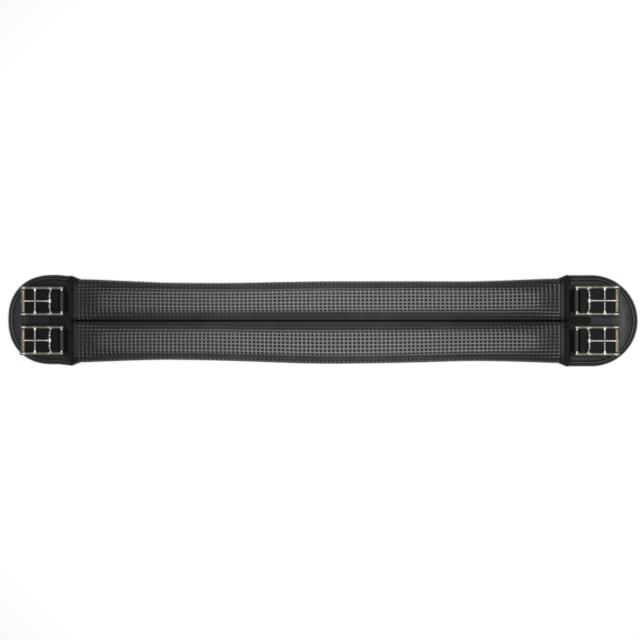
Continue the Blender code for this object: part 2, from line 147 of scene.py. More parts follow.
class LeatherSizes(bpy.types.PropertyGroup):
    """Caps, end pads and their stitching"""

    binding_width: length_setting(
        "Binding width", "How far the edge binding reaches over the pad", 0.0068
    )
    stitch_length: length_setting("Stitch length", "Length of one stitch", 0.0026)
    stitch_gap: length_setting("Stitch gap", "Space between two stitches", 0.0010)
    thread_radius: length_setting("Thread radius", "Radius of the sewing thread", 0.00028)
    askew: length_setting("Askew", "How far forwards the left pad is sewn in", 0.0014)
    # The pads' own colour stays dark under the buckles and the cap as painted shade.
    face_colour: colour_setting(
        "Pad colour", "Colour of the end pads' leather", (0.0068, 0.0060, 0.0052)
    )
    # Painted sheen on the pads where nothing lies on them.
    sheen_colour: colour_setting(
        "Sheen colour", "Colour of the pads where nothing lies on them", (0.0190, 0.0175, 0.0220)
    )
    binding_colour: colour_setting(
        "Binding colour", "Colour of the edge binding", (0.0085, 0.0085, 0.0095)
    )
    cap_colour: colour_setting("Cap colour", "Colour of the end caps", (0.0100, 0.0096, 0.0100))
    thread_colour: colour_setting(
        "Thread colour", "Colour of the sewing thread", (0.012, 0.0115, 0.0115)
    )
    # On the mouth tape this dark colour is also painted shade, the shade that the cap casts round
    # its mouth.
    tape_colour: colour_setting(
        "Tape colour", "Colour of the mouth tape and the centre tab", (0.0095, 0.0086, 0.0064)
    )
    lining_colour: colour_setting(
        "Lining colour", "Colour of the jersey on the horse side", (0.030, 0.030, 0.031)
    )


class StrapSizes(bpy.types.PropertyGroup):
    """The elastic straps"""

    ribs: bpy.props.IntProperty(
        name="Ribs", description="Elastic cords across a strap's width", default=14, min=4
    )
    colour: colour_setting("Elastic colour", "Colour of the straps", (0.0018, 0.0017, 0.0017))
    # A painted highlight along the fold where the elastic goes round the bar.
    crest_highlight_colour: colour_setting(
        "Crest highlight colour", "Colour of the elastic where it is stretched over a bar",
        (0.060, 0.057, 0.056),
    )


class BuckleSizes(bpy.types.PropertyGroup):
    """The roller buckles"""

    grain: length_setting("Casting grain", "Cell size of the cast surface", 0.00030)
    flare_radius: length_setting(
        "Flare radius", "Radius that the middle bar flares towards at a rail", 0.0026
    )
    colour: colour_setting("Steel colour", "Colour of the stainless steel", (0.125, 0.116, 0.100))
    # Painted highlights: this brighter colour goes on the buckles' corners, beads, bars and tongue.
    highlight_colour: colour_setting(
        "Highlight colour", "Colour of the steel where straps rub it bright", (0.50, 0.485, 0.46)
    )
    roller_colour: colour_setting(
        "Roller colour", "Colour of the drawn rollers", (0.21, 0.19, 0.155)
    )


class StageSizes(bpy.types.PropertyGroup):
    """The camera"""

    distance: length_setting("Camera distance", "From the girth to the camera", 1.5)
    tilt: bpy.props.FloatProperty(
        name="Camera tilt", description="How far the camera leans towards the right end",
        default=math.radians(2.7), subtype="ANGLE", unit="ROTATION",
    )
    width_in_view: length_setting("Width in view", "Width that fills the picture", 0.760)


# ---------------------------------------------------------------- shader maths


def math_node(operation, swapped=False):
    """A method for Socket that adds a Math node."""

    def method(self, other=0.0):
        first, second = (other, self) if swapped else (self, other)
        return self.finish.node("Math", {"operation": operation}, {0: first, 1: second})

    return method


class Socket:
    """A shader node's output. Python's operators on it add Math nodes."""

    __add__ = math_node("ADD")
    __radd__ = math_node("ADD", swapped=True)
    __sub__ = math_node("SUBTRACT")
    __rsub__ = math_node("SUBTRACT", swapped=True)
    __mul__ = math_node("MULTIPLY")
    __rmul__ = math_node("MULTIPLY", swapped=True)
    __truediv__ = math_node("DIVIDE")
    least = math_node("MINIMUM")
    sine = math_node("SINE")

    def __init__(self, finish, output):
        self.finish = finish
        self.output = output


class Finish:
    """One material, and the nodes that make its finish."""

    def __init__(self, name):
        self.material = bpy.data.materials.new(name)
        self.material.use_nodes = True
        self.tree = self.material.node_tree

    def node(self, kind, settings=None, inputs=None, output=0):
        """Adds a node, sets it up, fills its inputs and returns one of its outputs."""
        made = self.tree.nodes.new("ShaderNode" + kind)
        for name, value in (settings or {}).items():
            setattr(made, name, value)
        for key, value in (inputs or {}).items():
            self.fill(made.inputs[key], value)
        return Socket(self, made.outputs[output])

    def fill(self, socket, value):
        if isinstance(value, Socket):
            self.tree.links.new(value.output, socket)
        elif socket.type == "RGBA":
            socket.default_value = (*value, 1.0)
        else:
            socket.default_value = value

    def surface(self, **inputs):
        """Fills the shader's sockets, and returns the finished material."""
        sockets = self.tree.nodes["Principled BSDF"].inputs
        for name, value in inputs.items():
            self.fill(sockets[name.replace("_", " ")], value)
        return self.material

    def place(self):
        return self.node("TexCoord", output="Object")

    def axis(self, letter, where=None):
        return self.node("SeparateXYZ", inputs={0: where or self.place()}, output=letter)

    def attribute(self, name):
        return self.node("Attribute", {"attribute_name": name}, output="Fac")

    def noise(self, scale, detail=3.0, roughness=0.55, where=None):
        inputs = {"Scale": scale, "Detail": detail, "Roughness": roughness}
        inputs["Vector"] = where or self.place()
        return self.node("TexNoise", inputs=inputs)

    def cells(self, scale):
        inputs = {"Scale": scale, "Vector": self.place()}
        return self.node("TexVoronoi", {"feature": "DISTANCE_TO_EDGE"}, inputs)

    def ramp(self, factor, low, high):
        """0 below low, 1 above high."""
        made = self.node("ValToRGB", inputs={"Fac": factor})
        for element, position in zip(made.output.node.color_ramp.elements, (low, high)):
            element.position = position
        return made

    def mix(self, factor, first, second):
        inputs = {0: factor, 6: first, 7: second}
        return self.node("Mix", {"data_type": "RGBA"}, inputs, output=2)

    def shades(self, factor, colour, low, high):
        """A mix of the same colour, low and high times as bright."""
        return self.mix(factor, scaled(colour, low), scaled(colour, high))

    def bump(self, height, distance, strength, under=None):
        inputs = {"Height": height, "Distance": distance, "Strength": strength}
        if under is not None:
            inputs["Normal"] = under
        return self.node("Bump", inputs=inputs)


def scaled(colour, factor):
    return tuple(part * factor for part in colour)


# How far the painted light falls off from the girth's middle, and how far the painted shade of the
# crease reaches from its middle seam
PAINTED_FALLOFF_REACH = 0.26
CREASE_SHADE_REACH = 0.0016


def neoprene_finish(name, rib, pit):
    """Rubbery neoprene: matt pits and seam crease painted dark as their shade, and ribs painted
    lighter at the middle and darker towards the ends, a painted falloff of the light.
    """
    finish = Finish(name)
    depth = finish.attribute("pit")
    patches = finish.noise(22.0, 4.0, 0.6)
    grit = finish.noise(2600.0, 2.0, 0.6)
    lit = finish.shades(finish.ramp(patches, 0.35, 0.70), rib, 0.80, 1.25)
    dusty = finish.mix(finish.ramp(grit, 0.55, 0.80) * 0.35, lit, scaled(rib, 2.2))
    along = finish.axis("X") / PAINTED_FALLOFF_REACH
    across = finish.axis("Y") / CREASE_SHADE_REACH
    # Painted light falloff: the ribs darken towards the ends and stay lighter at the middle.
    wear_and_painted_light = finish.mix((along * along).least(1.0), dusty, scaled(rib, 0.35))
    # Painted shade in the seam's crease: pit colour, made metallic so that it stays dark.
    crease_shade = 1.0 - (across * across).least(1.0)
    # Base colour: the pits painted dark as their shade.
    return finish.surface(
        Base_Color=finish.mix(crease_shade, finish.mix(finish.ramp(depth, 0.10, 0.85), wear_and_painted_light, pit), pit),
        Metallic=crease_shade,
        Roughness=(0.265 + 0.10 * patches + 0.60 * depth).least(0.95),
        Specular_IOR_Level=0.33,
        Normal=finish.bump(grit, 0.00003, 0.5, finish.bump(patches, 0.0004, 0.2)),
    )


def leather_finish(name, colour, roughness, pebble, gloss, painted_sheen_attribute=None, sheen_colour=None):
    """Smooth synthetic leather: fine pebble grain, soft creases, patches of wear.

    painted_sheen_attribute names the attribute that is 1 where nothing lies on the leather: there
    it takes sheen_colour, a painted sheen, and keeps its polish; where it is 0 the darker colour is
    painted shade.
    """
    finish = Finish(name)
    creases = finish.cells(150.0)
    clouds = finish.noise(38.0, 5.0, 0.6)
    # Patches of real wear: lighter, smoother leather at random.
    wear_and_painted_highlight = finish.ramp(finish.noise(12.0, 6.0, 0.65), 0.50, 0.78)
    grain = finish.ramp(finish.cells(pebble), 0.02, 0.30)
    tone = finish.shades(finish.ramp(clouds, 0.30, 0.72), colour, 0.75, 1.25)
    wear_and_painted_light = finish.mix(wear_and_painted_highlight * 0.40, tone, scaled(colour, 1.9))
    # Painted sheen where the pad lies free; under the buckles the darker colour stays as painted
    # shade.
    if painted_sheen_attribute:
        painted_sheen = finish.attribute(painted_sheen_attribute)
        wear_and_painted_light = finish.mix(painted_sheen, wear_and_painted_light, sheen_colour)
        finish.surface(Coat_Weight=0.40 * painted_sheen, Coat_Roughness=0.36)
    low = finish.bump(finish.ramp(creases, 0.0, 0.10), 0.00010, 0.15)
    return finish.surface(
        Base_Color=finish.mix((1.0 - grain) * 0.55, wear_and_painted_light, scaled(colour, 0.45)),
        Roughness=roughness + 0.10 * clouds - 0.05 * wear_and_painted_highlight,
        Specular_IOR_Level=gloss,
        Normal=finish.bump(grain, 0.00003, 0.30, low),
    )


def woven_finish(name, colour, cords, picks, gloss=0.2, crest=None, crest_highlight_colour=None):
    """Woven band by its own UV map: cords along it, picks across them, and fluff.

    crest is where along the band it is stretched over a bar; there it takes crest_highlight_colour,
    a painted highlight along the fold.
    """
    finish = Finish(name)
    where = finish.node("UVMap", {"uv_map": "UVMap"})
    along = finish.axis("X", where)
    across = finish.axis("Y", where)
    ridges = (across * (cords * 2 * math.pi)).sine() * 0.5 + 0.5
    weft = (along * (picks * 2 * math.pi)).sine() * 0.5 + 0.5
    fluff = finish.noise(1400.0, 3.0, 0.7)
    cloth = ridges * 0.6 + weft * 0.4
    dull = finish.shades(cloth, colour, 0.40, 1.30)
    base = finish.mix(finish.ramp(fluff, 0.60, 0.85) * 0.5, dull, scaled(colour, 2.4))
    # Painted highlight along the fold over the bar: stretched is its strength.
    if crest is not None:
        away = (along - crest) / 0.035
        stretched = 1.0 - (away * away).least(1.0)
        base = finish.mix(stretched * (0.55 + 0.45 * ridges), base, crest_highlight_colour)
    return finish.surface(
        Base_Color=base,
        Roughness=0.85 - 0.18 * ridges,
        Specular_IOR_Level=gloss,
        Normal=finish.bump(cloth, 0.00025, 0.8, finish.bump(fluff, 0.0001, 0.5)),
    )


def knit_finish(name, colour):
    """Fine jersey on the horse side of the end pads."""
    finish = Finish(name)
    stitches = (finish.axis("X") * 5200.0).sine() * (finish.axis("Y") * 5200.0).sine() * 0.5 + 0.5
    pilling = finish.noise(300.0, 5.0, 0.7)
    tone = finish.shades(stitches, colour, 0.55, 1.25)
    return finish.surface(
        Base_Color=finish.mix(finish.ramp(pilling, 0.55, 0.80) * 0.4, tone, scaled(colour, 1.9)),
        Roughness=0.82 + 0.12 * pilling,
        Normal=finish.bump(stitches, 0.00018, 0.7, finish.bump(pilling, 0.0002, 0.3)),
    )


def thread_finish(name, colour):
    """Bonded nylon thread with its twist."""
    finish = Finish(name)
    bands = {"Scale": 900.0, "Vector": finish.place()}
    twist = finish.node("TexWave", {"bands_direction": "DIAGONAL"}, bands)
    return finish.surface(
        Base_Color=finish.shades(twist, colour, 0.5, 1.7),
        Roughness=0.55 + 0.25 * finish.noise(700.0, 2.0),
        Normal=finish.bump(twist, 0.00012, 0.8),
    )


def steel_finish(name, colour, roughness, highlight_colour=None):
    """Cast and tumbled stainless steel: fine scratches, dull patches and darker specks.

    highlight_colour is for where the piece's "wear_and_painted_highlight" attribute is 1: painted
    highlights of brighter, smoother steel.
    """
    finish = Finish(name)
    stretched = finish.node("Mapping", {}, {"Vector": finish.place(), "Scale": (1.0, 9.0, 9.0)})
    scratches = finish.noise(420.0, 2.0, 0.6, stretched)
    specks = finish.ramp(finish.noise(900.0, 3.0, 0.7), 0.62, 0.72)
    dull = finish.ramp(finish.noise(85.0, 4.0, 0.6), 0.42, 0.72)
    tone = finish.mix(dull, colour, scaled(colour, 0.72))
    rough = roughness + 0.10 * dull + 0.06 * scratches
    # Painted highlights: brighter, smoother steel where the attribute is 1.
    if highlight_colour is not None:
        wear_and_painted_highlight = finish.attribute("wear_and_painted_highlight")
        tone = finish.mix(wear_and_painted_highlight, tone, highlight_colour)
        rough = rough - 0.12 * wear_and_painted_highlight
    return finish.surface(
        Base_Color=finish.mix(specks * 0.5, tone, scaled(colour, 0.35)),
        Metallic=1.0,
        Roughness=rough,
        Normal=finish.bump(scratches, 0.00001, 0.5),
    )


def foam_finish(name, colour):
    """Closed-cell foam: small cells with a dusty surface."""
    finish = Finish(name)
    cells = finish.cells(1100.0)
    return finish.surface(
        Base_Color=finish.shades(finish.ramp(cells, 0.0, 0.2), colour, 0.6, 1.0),
        Roughness=0.90 + 0.08 * finish.noise(60.0, 4.0),
        Normal=finish.bump(cells, 0.0002, 0.5),
    )


# ---------------------------------------------------------------- modelling tools


def start_piece():
    """Leaves edit mode and deselects everything, so that an operator acts on the new piece only."""
    if bpy.context.object and bpy.context.object.mode != "OBJECT":
        bpy.ops.object.mode_set(mode="OBJECT")
    bpy.ops.object.select_all(action="DESELECT")


def activate(piece):
    start_piece()
    piece.select_set(True)
    bpy.context.view_layer.objects.active = piece


@contextmanager
def editing(everything=True):
    """Edit mode on the active piece, with everything selected or the selection left as it is."""
    bpy.ops.object.mode_set(mode="EDIT")
    if everything:
        bpy.ops.mesh.select_all(action="SELECT")
    yield
    bpy.ops.object.mode_set(mode="OBJECT")


def name_piece(piece, name, material, body, slot, *replaced):
    """Names a finished piece, gives it its material, and ties it to its body, if any; slot is not
    used.
    """
    piece.name = name
    piece.data.name = name
    piece.data.materials.clear()
    piece.data.materials.append(material)
    if body is not None:
        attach(piece, body)
    if replaced:
        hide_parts(*replaced)


def wrapped_sheet(name, columns, rows, point, joined=False):
    """A grid primitive whose every vertex is moved to point(u, v), u and v from 0 to 1.

    The outer side is the one where v runs to the left of u. joined sews the two long edges.
    """
    start_piece()
    bpy.ops.mesh.primitive_grid_add(x_subdivisions=columns, y_subdivisions=rows, size=1.0)
    piece = bpy.context.object
    piece.name = name
    for vertex in piece.data.vertices:
        vertex.co = point(vertex.co.x + 0.5, vertex.co.y + 0.5)
    if joined:
        with editing():
            bpy.ops.mesh.remove_doubles(threshold=1e-6)
    return piece


def pillow(name, cells, point):
    """Two square grids sewn together round their edge, each vertex moved to point(a, b, upper)."""
    start_piece()
    bpy.ops.mesh.primitive_grid_add(x_subdivisions=cells, y_subdivisions=cells, size=2.0)
    piece = bpy.context.object
    piece.name = name
    with editing():
        bpy.ops.mesh.duplicate()
        bpy.ops.transform.translate(value=(0, 0, -1))
        bpy.ops.mesh.flip_normals()
    for vertex in piece.data.vertices:
        vertex.co = point(vertex.co.x, vertex.co.y, vertex.co.z > -0.5)
    with editing():
        bpy.ops.mesh.remove_doubles(threshold=1e-6)
        bpy.ops.mesh.normals_make_consistent(inside=False)
    return piece


def apply_modifiers(piece):
    activate(piece)
    for modifier in list(piece.modifiers):
        bpy.ops.object.modifier_apply(modifier=modifier.name)


def smooth(piece, angle):
    activate(piece)
    bpy.ops.object.shade_smooth_by_angle(angle=math.radians(angle))


def thicken(piece, thickness, rounding, offset=-1.0, angle=50):
    """Gives a sheet its thickness, inwards unless offset says otherwise, and rounds its edges."""
    wall = piece.modifiers.new("wall", "SOLIDIFY")
    wall.thickness = thickness
    wall.offset = offset
    wall.use_even_offset = True
    edge = piece.modifiers.new("edge", "BEVEL")
    edge.width = rounding
    edge.segments = 2
    edge.limit_method = "ANGLE"
    edge.angle_limit = math.radians(50)
    apply_modifiers(piece)
    smooth(piece, angle)


def turn_over(piece):
    activate(piece)
    with editing():
        bpy.ops.mesh.flip_normals()


SWELL_STEPS = 20


def swell(piece, pinned, pressure, reach):
    """Lets cloth push a piece out from inside, no point moving further than reach."""
    group = piece.vertex_groups.new(name="sewn")
    group.add(pinned, 1.0, "REPLACE")
    cloth = piece.modifiers.new("padding", "CLOTH")
    settings = cloth.settings
    settings.quality = 5
    settings.mass = 0.3
    settings.tension_stiffness = settings.compression_stiffness = 15.0
    settings.shear_stiffness = 5.0
    settings.bending_stiffness = 0.5
    settings.use_pressure = True
    settings.uniform_pressure_force = pressure
    settings.effector_weights.gravity = 0.0
    settings.vertex_group_mass = "sewn"
    cloth.point_cache.frame_start = 1
    cloth.point_cache.frame_end = SWELL_STEPS
    for step in range(1, SWELL_STEPS + 1):
        bpy.context.scene.frame_set(step)
    evaluated = piece.evaluated_get(bpy.context.evaluated_depsgraph_get())
    swollen = [vertex.co.copy() for vertex in evaluated.data.vertices]
    piece.modifiers.remove(cloth)
    piece.vertex_groups.clear()
    for vertex, place in zip(piece.data.vertices, swollen):
        move = place - vertex.co
        if move.length > reach:
            move *= reach / move.length
        vertex.co += move
    bpy.context.scene.frame_set(1)



def run_of_stitches(name, path, length, gap, radius, normal=(0, 0, 1)):
    """Rounded stitches along a path, as one piece, their ends pulled down into the leather."""
    up = Vector(normal)
    start_piece()
    bpy.ops.mesh.primitive_uv_sphere_add(segments=8, ring_count=6, radius=1.0)
    seed = bpy.context.object
    shape = seed.data
    for vertex in shape.vertices:
        x, y, z = vertex.co
        vertex.co = (x * length / 2, y * radius, (z - 1.6 * x**2 + 0.3) * radius)
    bm = bmesh.new()
    for here, along in evenly_spaced(path, length + gap):
        side = up.cross(along).normalized()
        rise = along.cross(side).normalized()
        turn = Matrix((along, side, rise)).transposed().to_4x4()
        place = Matrix.Translation(here - rise * radius * 0.25) @ turn
        before = len(bm.verts)
        bm.from_mesh(shape)
        bm.verts.ensure_lookup_table()
        bmesh.ops.transform(bm, matrix=place, verts=bm.verts[before:])
    bm.to_mesh(shape)
    bm.free()
    seed.name = name
    smooth(seed, 40)
    return seed


def evenly_spaced(path, pitch):
    """(point, direction) every pitch along a list of points."""
    places = []
    wanted = pitch / 2
    walked = 0.0
    for first, second in zip(path, path[1:]):
        step = second - first
        while step.length and walked + step.length >= wanted:
            places.append((first + step * ((wanted - walked) / step.length), step.normalized()))
            wanted += pitch
        walked += step.length
    return places


def smooth_step(t):
    t = min(max(t, 0.0), 1.0)
    return t * t * (3 - 2 * t)


def mixed(a, b, t):
    return a + (b - a) * t


# ---------------------------------------------------------------- waffle cover

# How square a channel's outline is: 2 is an ellipse
TOP_SQUARENESS = 2.6
FOOT_SQUARENESS = 5.0
END_SQUARENESS = 4.0
SQUEEZE_LENGTH = 0.030
BOW_REACH = 0.27
CAP_ROOM = 0.0013
COVER_SLIMNESS = 0.95  # share of its height that the cover starts with, before it swells
COVER_SWELL = 0.0016
# How far the painted shade of the seam's crease reaches, in the "pit" attribute
SEAM_SHADE_REACH = 0.0024


def end_squeeze(x):
    """0 along the cover, 1 where it goes into a cap."""
    return smooth_step((abs(x) - CAP_START + SQUEEZE_LENGTH) / SQUEEZE_LENGTH)


def cover_half_width(x, sizes):
    """Half the cover's width here, averaged over 60 mm so that it changes gently."""
    nearby = x + np.linspace(-0.03, 0.03, 13)
    return float(np.interp(nearby, WIDTH_STATIONS, sizes.widths).mean()) / 2


def channel_outline(half_width, low, high, seam_low, seam_high, foot, crown):
    """(y, z) points round the front channel, from the top of the seam to its underside."""
    angle = np.pi * (1 - 2 * np.linspace(0, 1, 400))
    above = angle >= 0
    power = np.where(above, 2 / crown, 2 / foot)
    cosine = np.cos(angle)
    across = np.sign(cosine) * np.abs(cosine) ** power
    rise = np.abs(np.sin(angle)) ** power
    middle = (low + high) / 2
    half_height = (high - low) / 2
    seam = np.where(above, seam_high - middle, middle - seam_low)
    height = np.where(across < 0, seam + (half_height - seam) * rise, half_height * rise)
    return half_width / 2 * (1 + across), middle + np.where(above, height, -height)


def spread(outline, count):
    """count + 1 points at equal distances along an outline."""
    y, z = outline
    walked = np.concatenate(([0], np.cumsum(np.hypot(np.diff(y), np.diff(z)))))
    wanted = np.linspace(0, walked[-1], count + 1)
    return np.interp(wanted, walked, y), np.interp(wanted, walked, z)


def cover_point_maker(sizes):
    """Gives a function that wraps a flat sheet into the two channels."""
    rows = sizes.rows
    cache = {}

    def section(x):
        if x not in cache:
            squeeze = end_squeeze(x)
            low = CAP_ROOM * squeeze
            high = mixed(COVER_HIGH.z, CAP_HIGH.z - CAP_ROOM, squeeze)
            middle = (low + high) / 2
            seam = sizes.seam_half_height
            outline = channel_outline(
                cover_half_width(x, sizes), mixed(middle, low, COVER_SLIMNESS),
                mixed(middle, high, COVER_SLIMNESS), middle - seam, middle + seam,
                FOOT_SQUARENESS, mixed(TOP_SQUARENESS, END_SQUARENESS, squeeze),
            )
            cache[x] = spread(outline, rows)
        return cache[x]

    def point(u, v):
        x = round((2 * u - 1) * COVER_END, 6)
        y, z = section(x)
        row = round(v * 2 * rows)
        if row <= rows:
            return (MIDDLE + x, y[row], z[row])
        return (MIDDLE + x, -y[2 * rows - row], z[2 * rows - row])

    return point


class GIRTH_OT_waffle_cover(bpy.types.Operator):
    """Waffle-pattern cover: a sheet sewn into two channels, swollen by its padding, then pitted"""

    bl_idname = "girth.waffle_cover"
    bl_label = "Waffle cover"

    def execute(self, context):
        sizes = context.scene.girth_waffle
        columns = round(2 * COVER_END / sizes.pitch)
        point = cover_point_maker(sizes)
        cover = wrapped_sheet("waffle_cover_skin", columns, 2 * sizes.rows, point, joined=True)
        self.settle(cover, sizes)
        self.belly(cover, sizes)
        self.close_ends(cover)
        self.press_pits(cover, sizes)
        material = neoprene_finish("waffle neoprene", sizes.rib_colour, sizes.pit_shade_colour)
        name_piece(cover, "waffle_cover_skin", material, "girth", "neoprene", "waffle_cover")
        return {"FINISHED"}

    def settle(self, cover, sizes):
        """Padding pushes the cover out, except at the seam and in the caps where it is sewn."""
        vertices = cover.data.vertices
        stations = [vertex.co.x - MIDDLE for vertex in vertices]
        sewn_beyond = CAP_START - 0.6 * sizes.pitch
        sewn = [
            vertex.index
            for vertex, x in zip(vertices, stations)
            if abs(vertex.co.y) < 1e-5 or abs(x) > sewn_beyond
        ]
        swell(cover, sewn, sizes.pressure, COVER_SWELL)
        for vertex, x in zip(vertices, stations):
            vertex.co.z = min(max(vertex.co.z, 0.0001), COVER_HIGH.z)
            widest = cover_half_width(x, sizes) + 0.0004
            vertex.co.y = min(max(vertex.co.y, -widest), widest)

    def belly(self, cover, sizes):
        """Bellies the rear edge out a little and draws the front one in, but not the seam."""
        for vertex in cover.data.vertices:
            away = min(abs(vertex.co.x - MIDDLE) / BOW_REACH, 1.0)
            share = math.cos(away * math.pi / 2) ** 2 * abs(vertex.co.y) / COVER_HIGH.y
            vertex.co.y -= sizes.bow * share

    def close_ends(self, cover):
        """Sews each open end shut, inside its cap."""
        activate(cover)
        mesh = cover.data
        for direction in ENDS.values():
            with editing(everything=False):
                bpy.ops.mesh.select_all(action="DESELECT")
            for edge in mesh.edges:
                ends = [(mesh.vertices[i].co.x - MIDDLE) * direction for i in edge.vertices]
                edge.select = min(ends) > COVER_END - 1e-5
            with editing(everything=False):
                bpy.ops.mesh.select_mode(type="EDGE")
                bpy.ops.mesh.edge_face_add()

    def press_pits(self, cover, sizes):
        """Raises the ribs' crossings, then sinks a pit into every cell."""
        mesh = cover.data
        normals = [Vector(normal.vector) for normal in mesh.vertex_normals]
        for vertex, normal in zip(mesh.vertices, normals):
            if abs(vertex.co.x - MIDDLE) < CAP_START:
                vertex.co += normal * sizes.knot_height
        seam = [abs(vertex.co.y) < 1e-4 for vertex in mesh.vertices]
        cells = [
            len(face.vertices) == 4 and not any(seam[index] for index in face.vertices)
            for face in mesh.polygons
        ]
        ribs = len(mesh.vertices)
        mesh.attributes.new("pit", "FLOAT", "POINT")
        activate(cover)
        with editing(everything=False):
            bpy.ops.mesh.select_mode(type="FACE")
        mesh.polygons.foreach_set("select", cells)
        with editing(everything=False):
            for width, share in ((1.0, 0.2), (0.25, 0.8)):
                bpy.ops.mesh.inset(
                    thickness=width * sizes.pit_inset, depth=-share * sizes.pit_depth,
                    use_individual=True,
                )
        # Pit bottoms get 1 and pit walls 0.12 in "pit": the pits are painted dark as their shade.
        bottoms = {index for face in mesh.polygons if face.select for index in face.vertices}
        values = []
        for vertex in mesh.vertices:
            # Near the seam "pit" rises to 1: painted shade in the seam's crease.
            crease_shade = smooth_step(1.3 - abs(vertex.co.y) / SEAM_SHADE_REACH)
            wall = 0.12 if vertex.index >= ribs else 0.0
            values.append(1.0 if vertex.index in bottoms else max(crease_shade, wall))
        mesh.attributes["pit"].data.foreach_set("value", values)
        mesh.shade_smooth()


class GIRTH_OT_seam_stitches(bpy.types.Operator):
    """Lockstitches down the groove between the channels, above and below"""

    bl_idname = "girth.seam_stitches"
    bl_label = "Seam stitches"

    def execute(self, context):
        waffle = context.scene.girth_waffle
        leather = context.scene.girth_leather
        material = thread_finish("seam thread", scaled(leather.thread_colour, 0.3))
        for name, side in (("upper", 1), ("lower", -1)):
            name = f"seam_stitches_{name}"
            path = [self.seam_point(t / 60, side, waffle) for t in range(61)]
            stitches = run_of_stitches(
                name, path, 1.2 * leather.stitch_length, leather.stitch_gap,
                1.2 * leather.thread_radius, (0, 0, side),
            )
            name_piece(stitches, name, material, "girth", "webbing")
        return {"FINISHED"}

    def seam_point(self, t, side, waffle):
        x = (2 * t - 1) * (CAP_START - 0.001)
        squeeze = end_squeeze(x)
        middle = mixed(COVER_HIGH.z, CAP_HIGH.z, squeeze) / 2
        return Vector((MIDDLE + x, 0.0, middle + side * (waffle.seam_half_height + 0.0001)))


# ---------------------------------------------------------------- caps and end pads

# Caps, and the tapes round their mouths
CAP_WALL = 0.0010
CAP_GROOVE = 0.0030
CAP_MOUTH_FOOT = 16.0
CAP_MOUTH_CROWN = 4.0
CAP_RINGS = 18
CAP_STEPS = 64
MOUTH_HIGH = BINDING_TOP + 0.0067
TAPE_WALL = 0.0009
TAPE_REACH = 0.0028
TAPE_STEPS = 96

# End pads, and the tabs between their buckles
PAD_STEPS = 120
PAD_CELLS = 44
PAD_SQUARENESS = {"right": 2.0, "left": 2.25}
ASKEW_RUN = 0.018
PAD_RIM = 0.0022
PAD_SEAM_HEIGHT = 0.0036
PAD_FLOOR = 0.0013
DISH = 0.0007
PAD_SWELL = 0.0007
TAB_LENGTH = 0.0285
TAB_WIDTH = 0.0094
TAB_BARS = 0.0046


def gathers(x, y, seed):
    """Soft folds that the cap leather is gathered into, running along the girth."""
    coarse = noise.noise(Vector((x * 60.0, y * 150.0, seed)))
    fine = noise.noise(Vector((x * 110.0, y * 420.0, seed + 9.0)))
    return 0.00028 * coarse + 0.00010 * fine


def cap_point_maker(direction, sizes):
    """A band that flares from the cover's outline to its mouth over the pad, hems rolled in."""
    start = channel_outline(
        cover_half_width(CAP_START, sizes) + CAP_ROOM, 0.0, CAP_HIGH.z,
        0.0, CAP_HIGH.z - CAP_GROOVE, FOOT_SQUARENESS, END_SQUARENESS,
    )
    mouth = channel_outline(
        CAP_HIGH.y, 0.0, MOUTH_HIGH, 0.0, BINDING_TOP, CAP_MOUTH_FOOT, CAP_MOUTH_CROWN
    )
    start, mouth = spread(start, CAP_STEPS), spread(mouth, CAP_STEPS)
    level = (COVER_END - CAP_START) / (CAP_END - CAP_START)

    def point(u, v):
        row = round(v * 2 * CAP_STEPS)
        index = row if row <= CAP_STEPS else 2 * CAP_STEPS - row
        wider = smooth_step(0.5 + (u - 0.5) * 0.9)
        lower = smooth_step((u - level) / (0.9 - level))
        y = mixed(start[0][index], mouth[0][index], wider)
        z = mixed(start[1][index], mouth[1][index], lower)
        if z > 0.002:
            seed = direction + row // (CAP_STEPS + 1) * 4
            hem = 0.0004 * max(1 - min(u, 1 - u) / 0.10, 0.0) ** 2
            z += gathers(u * 0.01, y, seed) * smooth_step(z / 0.010)
            z -= hem
            y -= hem * y / CAP_HIGH.y
        x = MIDDLE + direction * mixed(CAP_START, CAP_END, u)
        return (x, y if row <= CAP_STEPS else -y, max(z, 0.0))

    return point


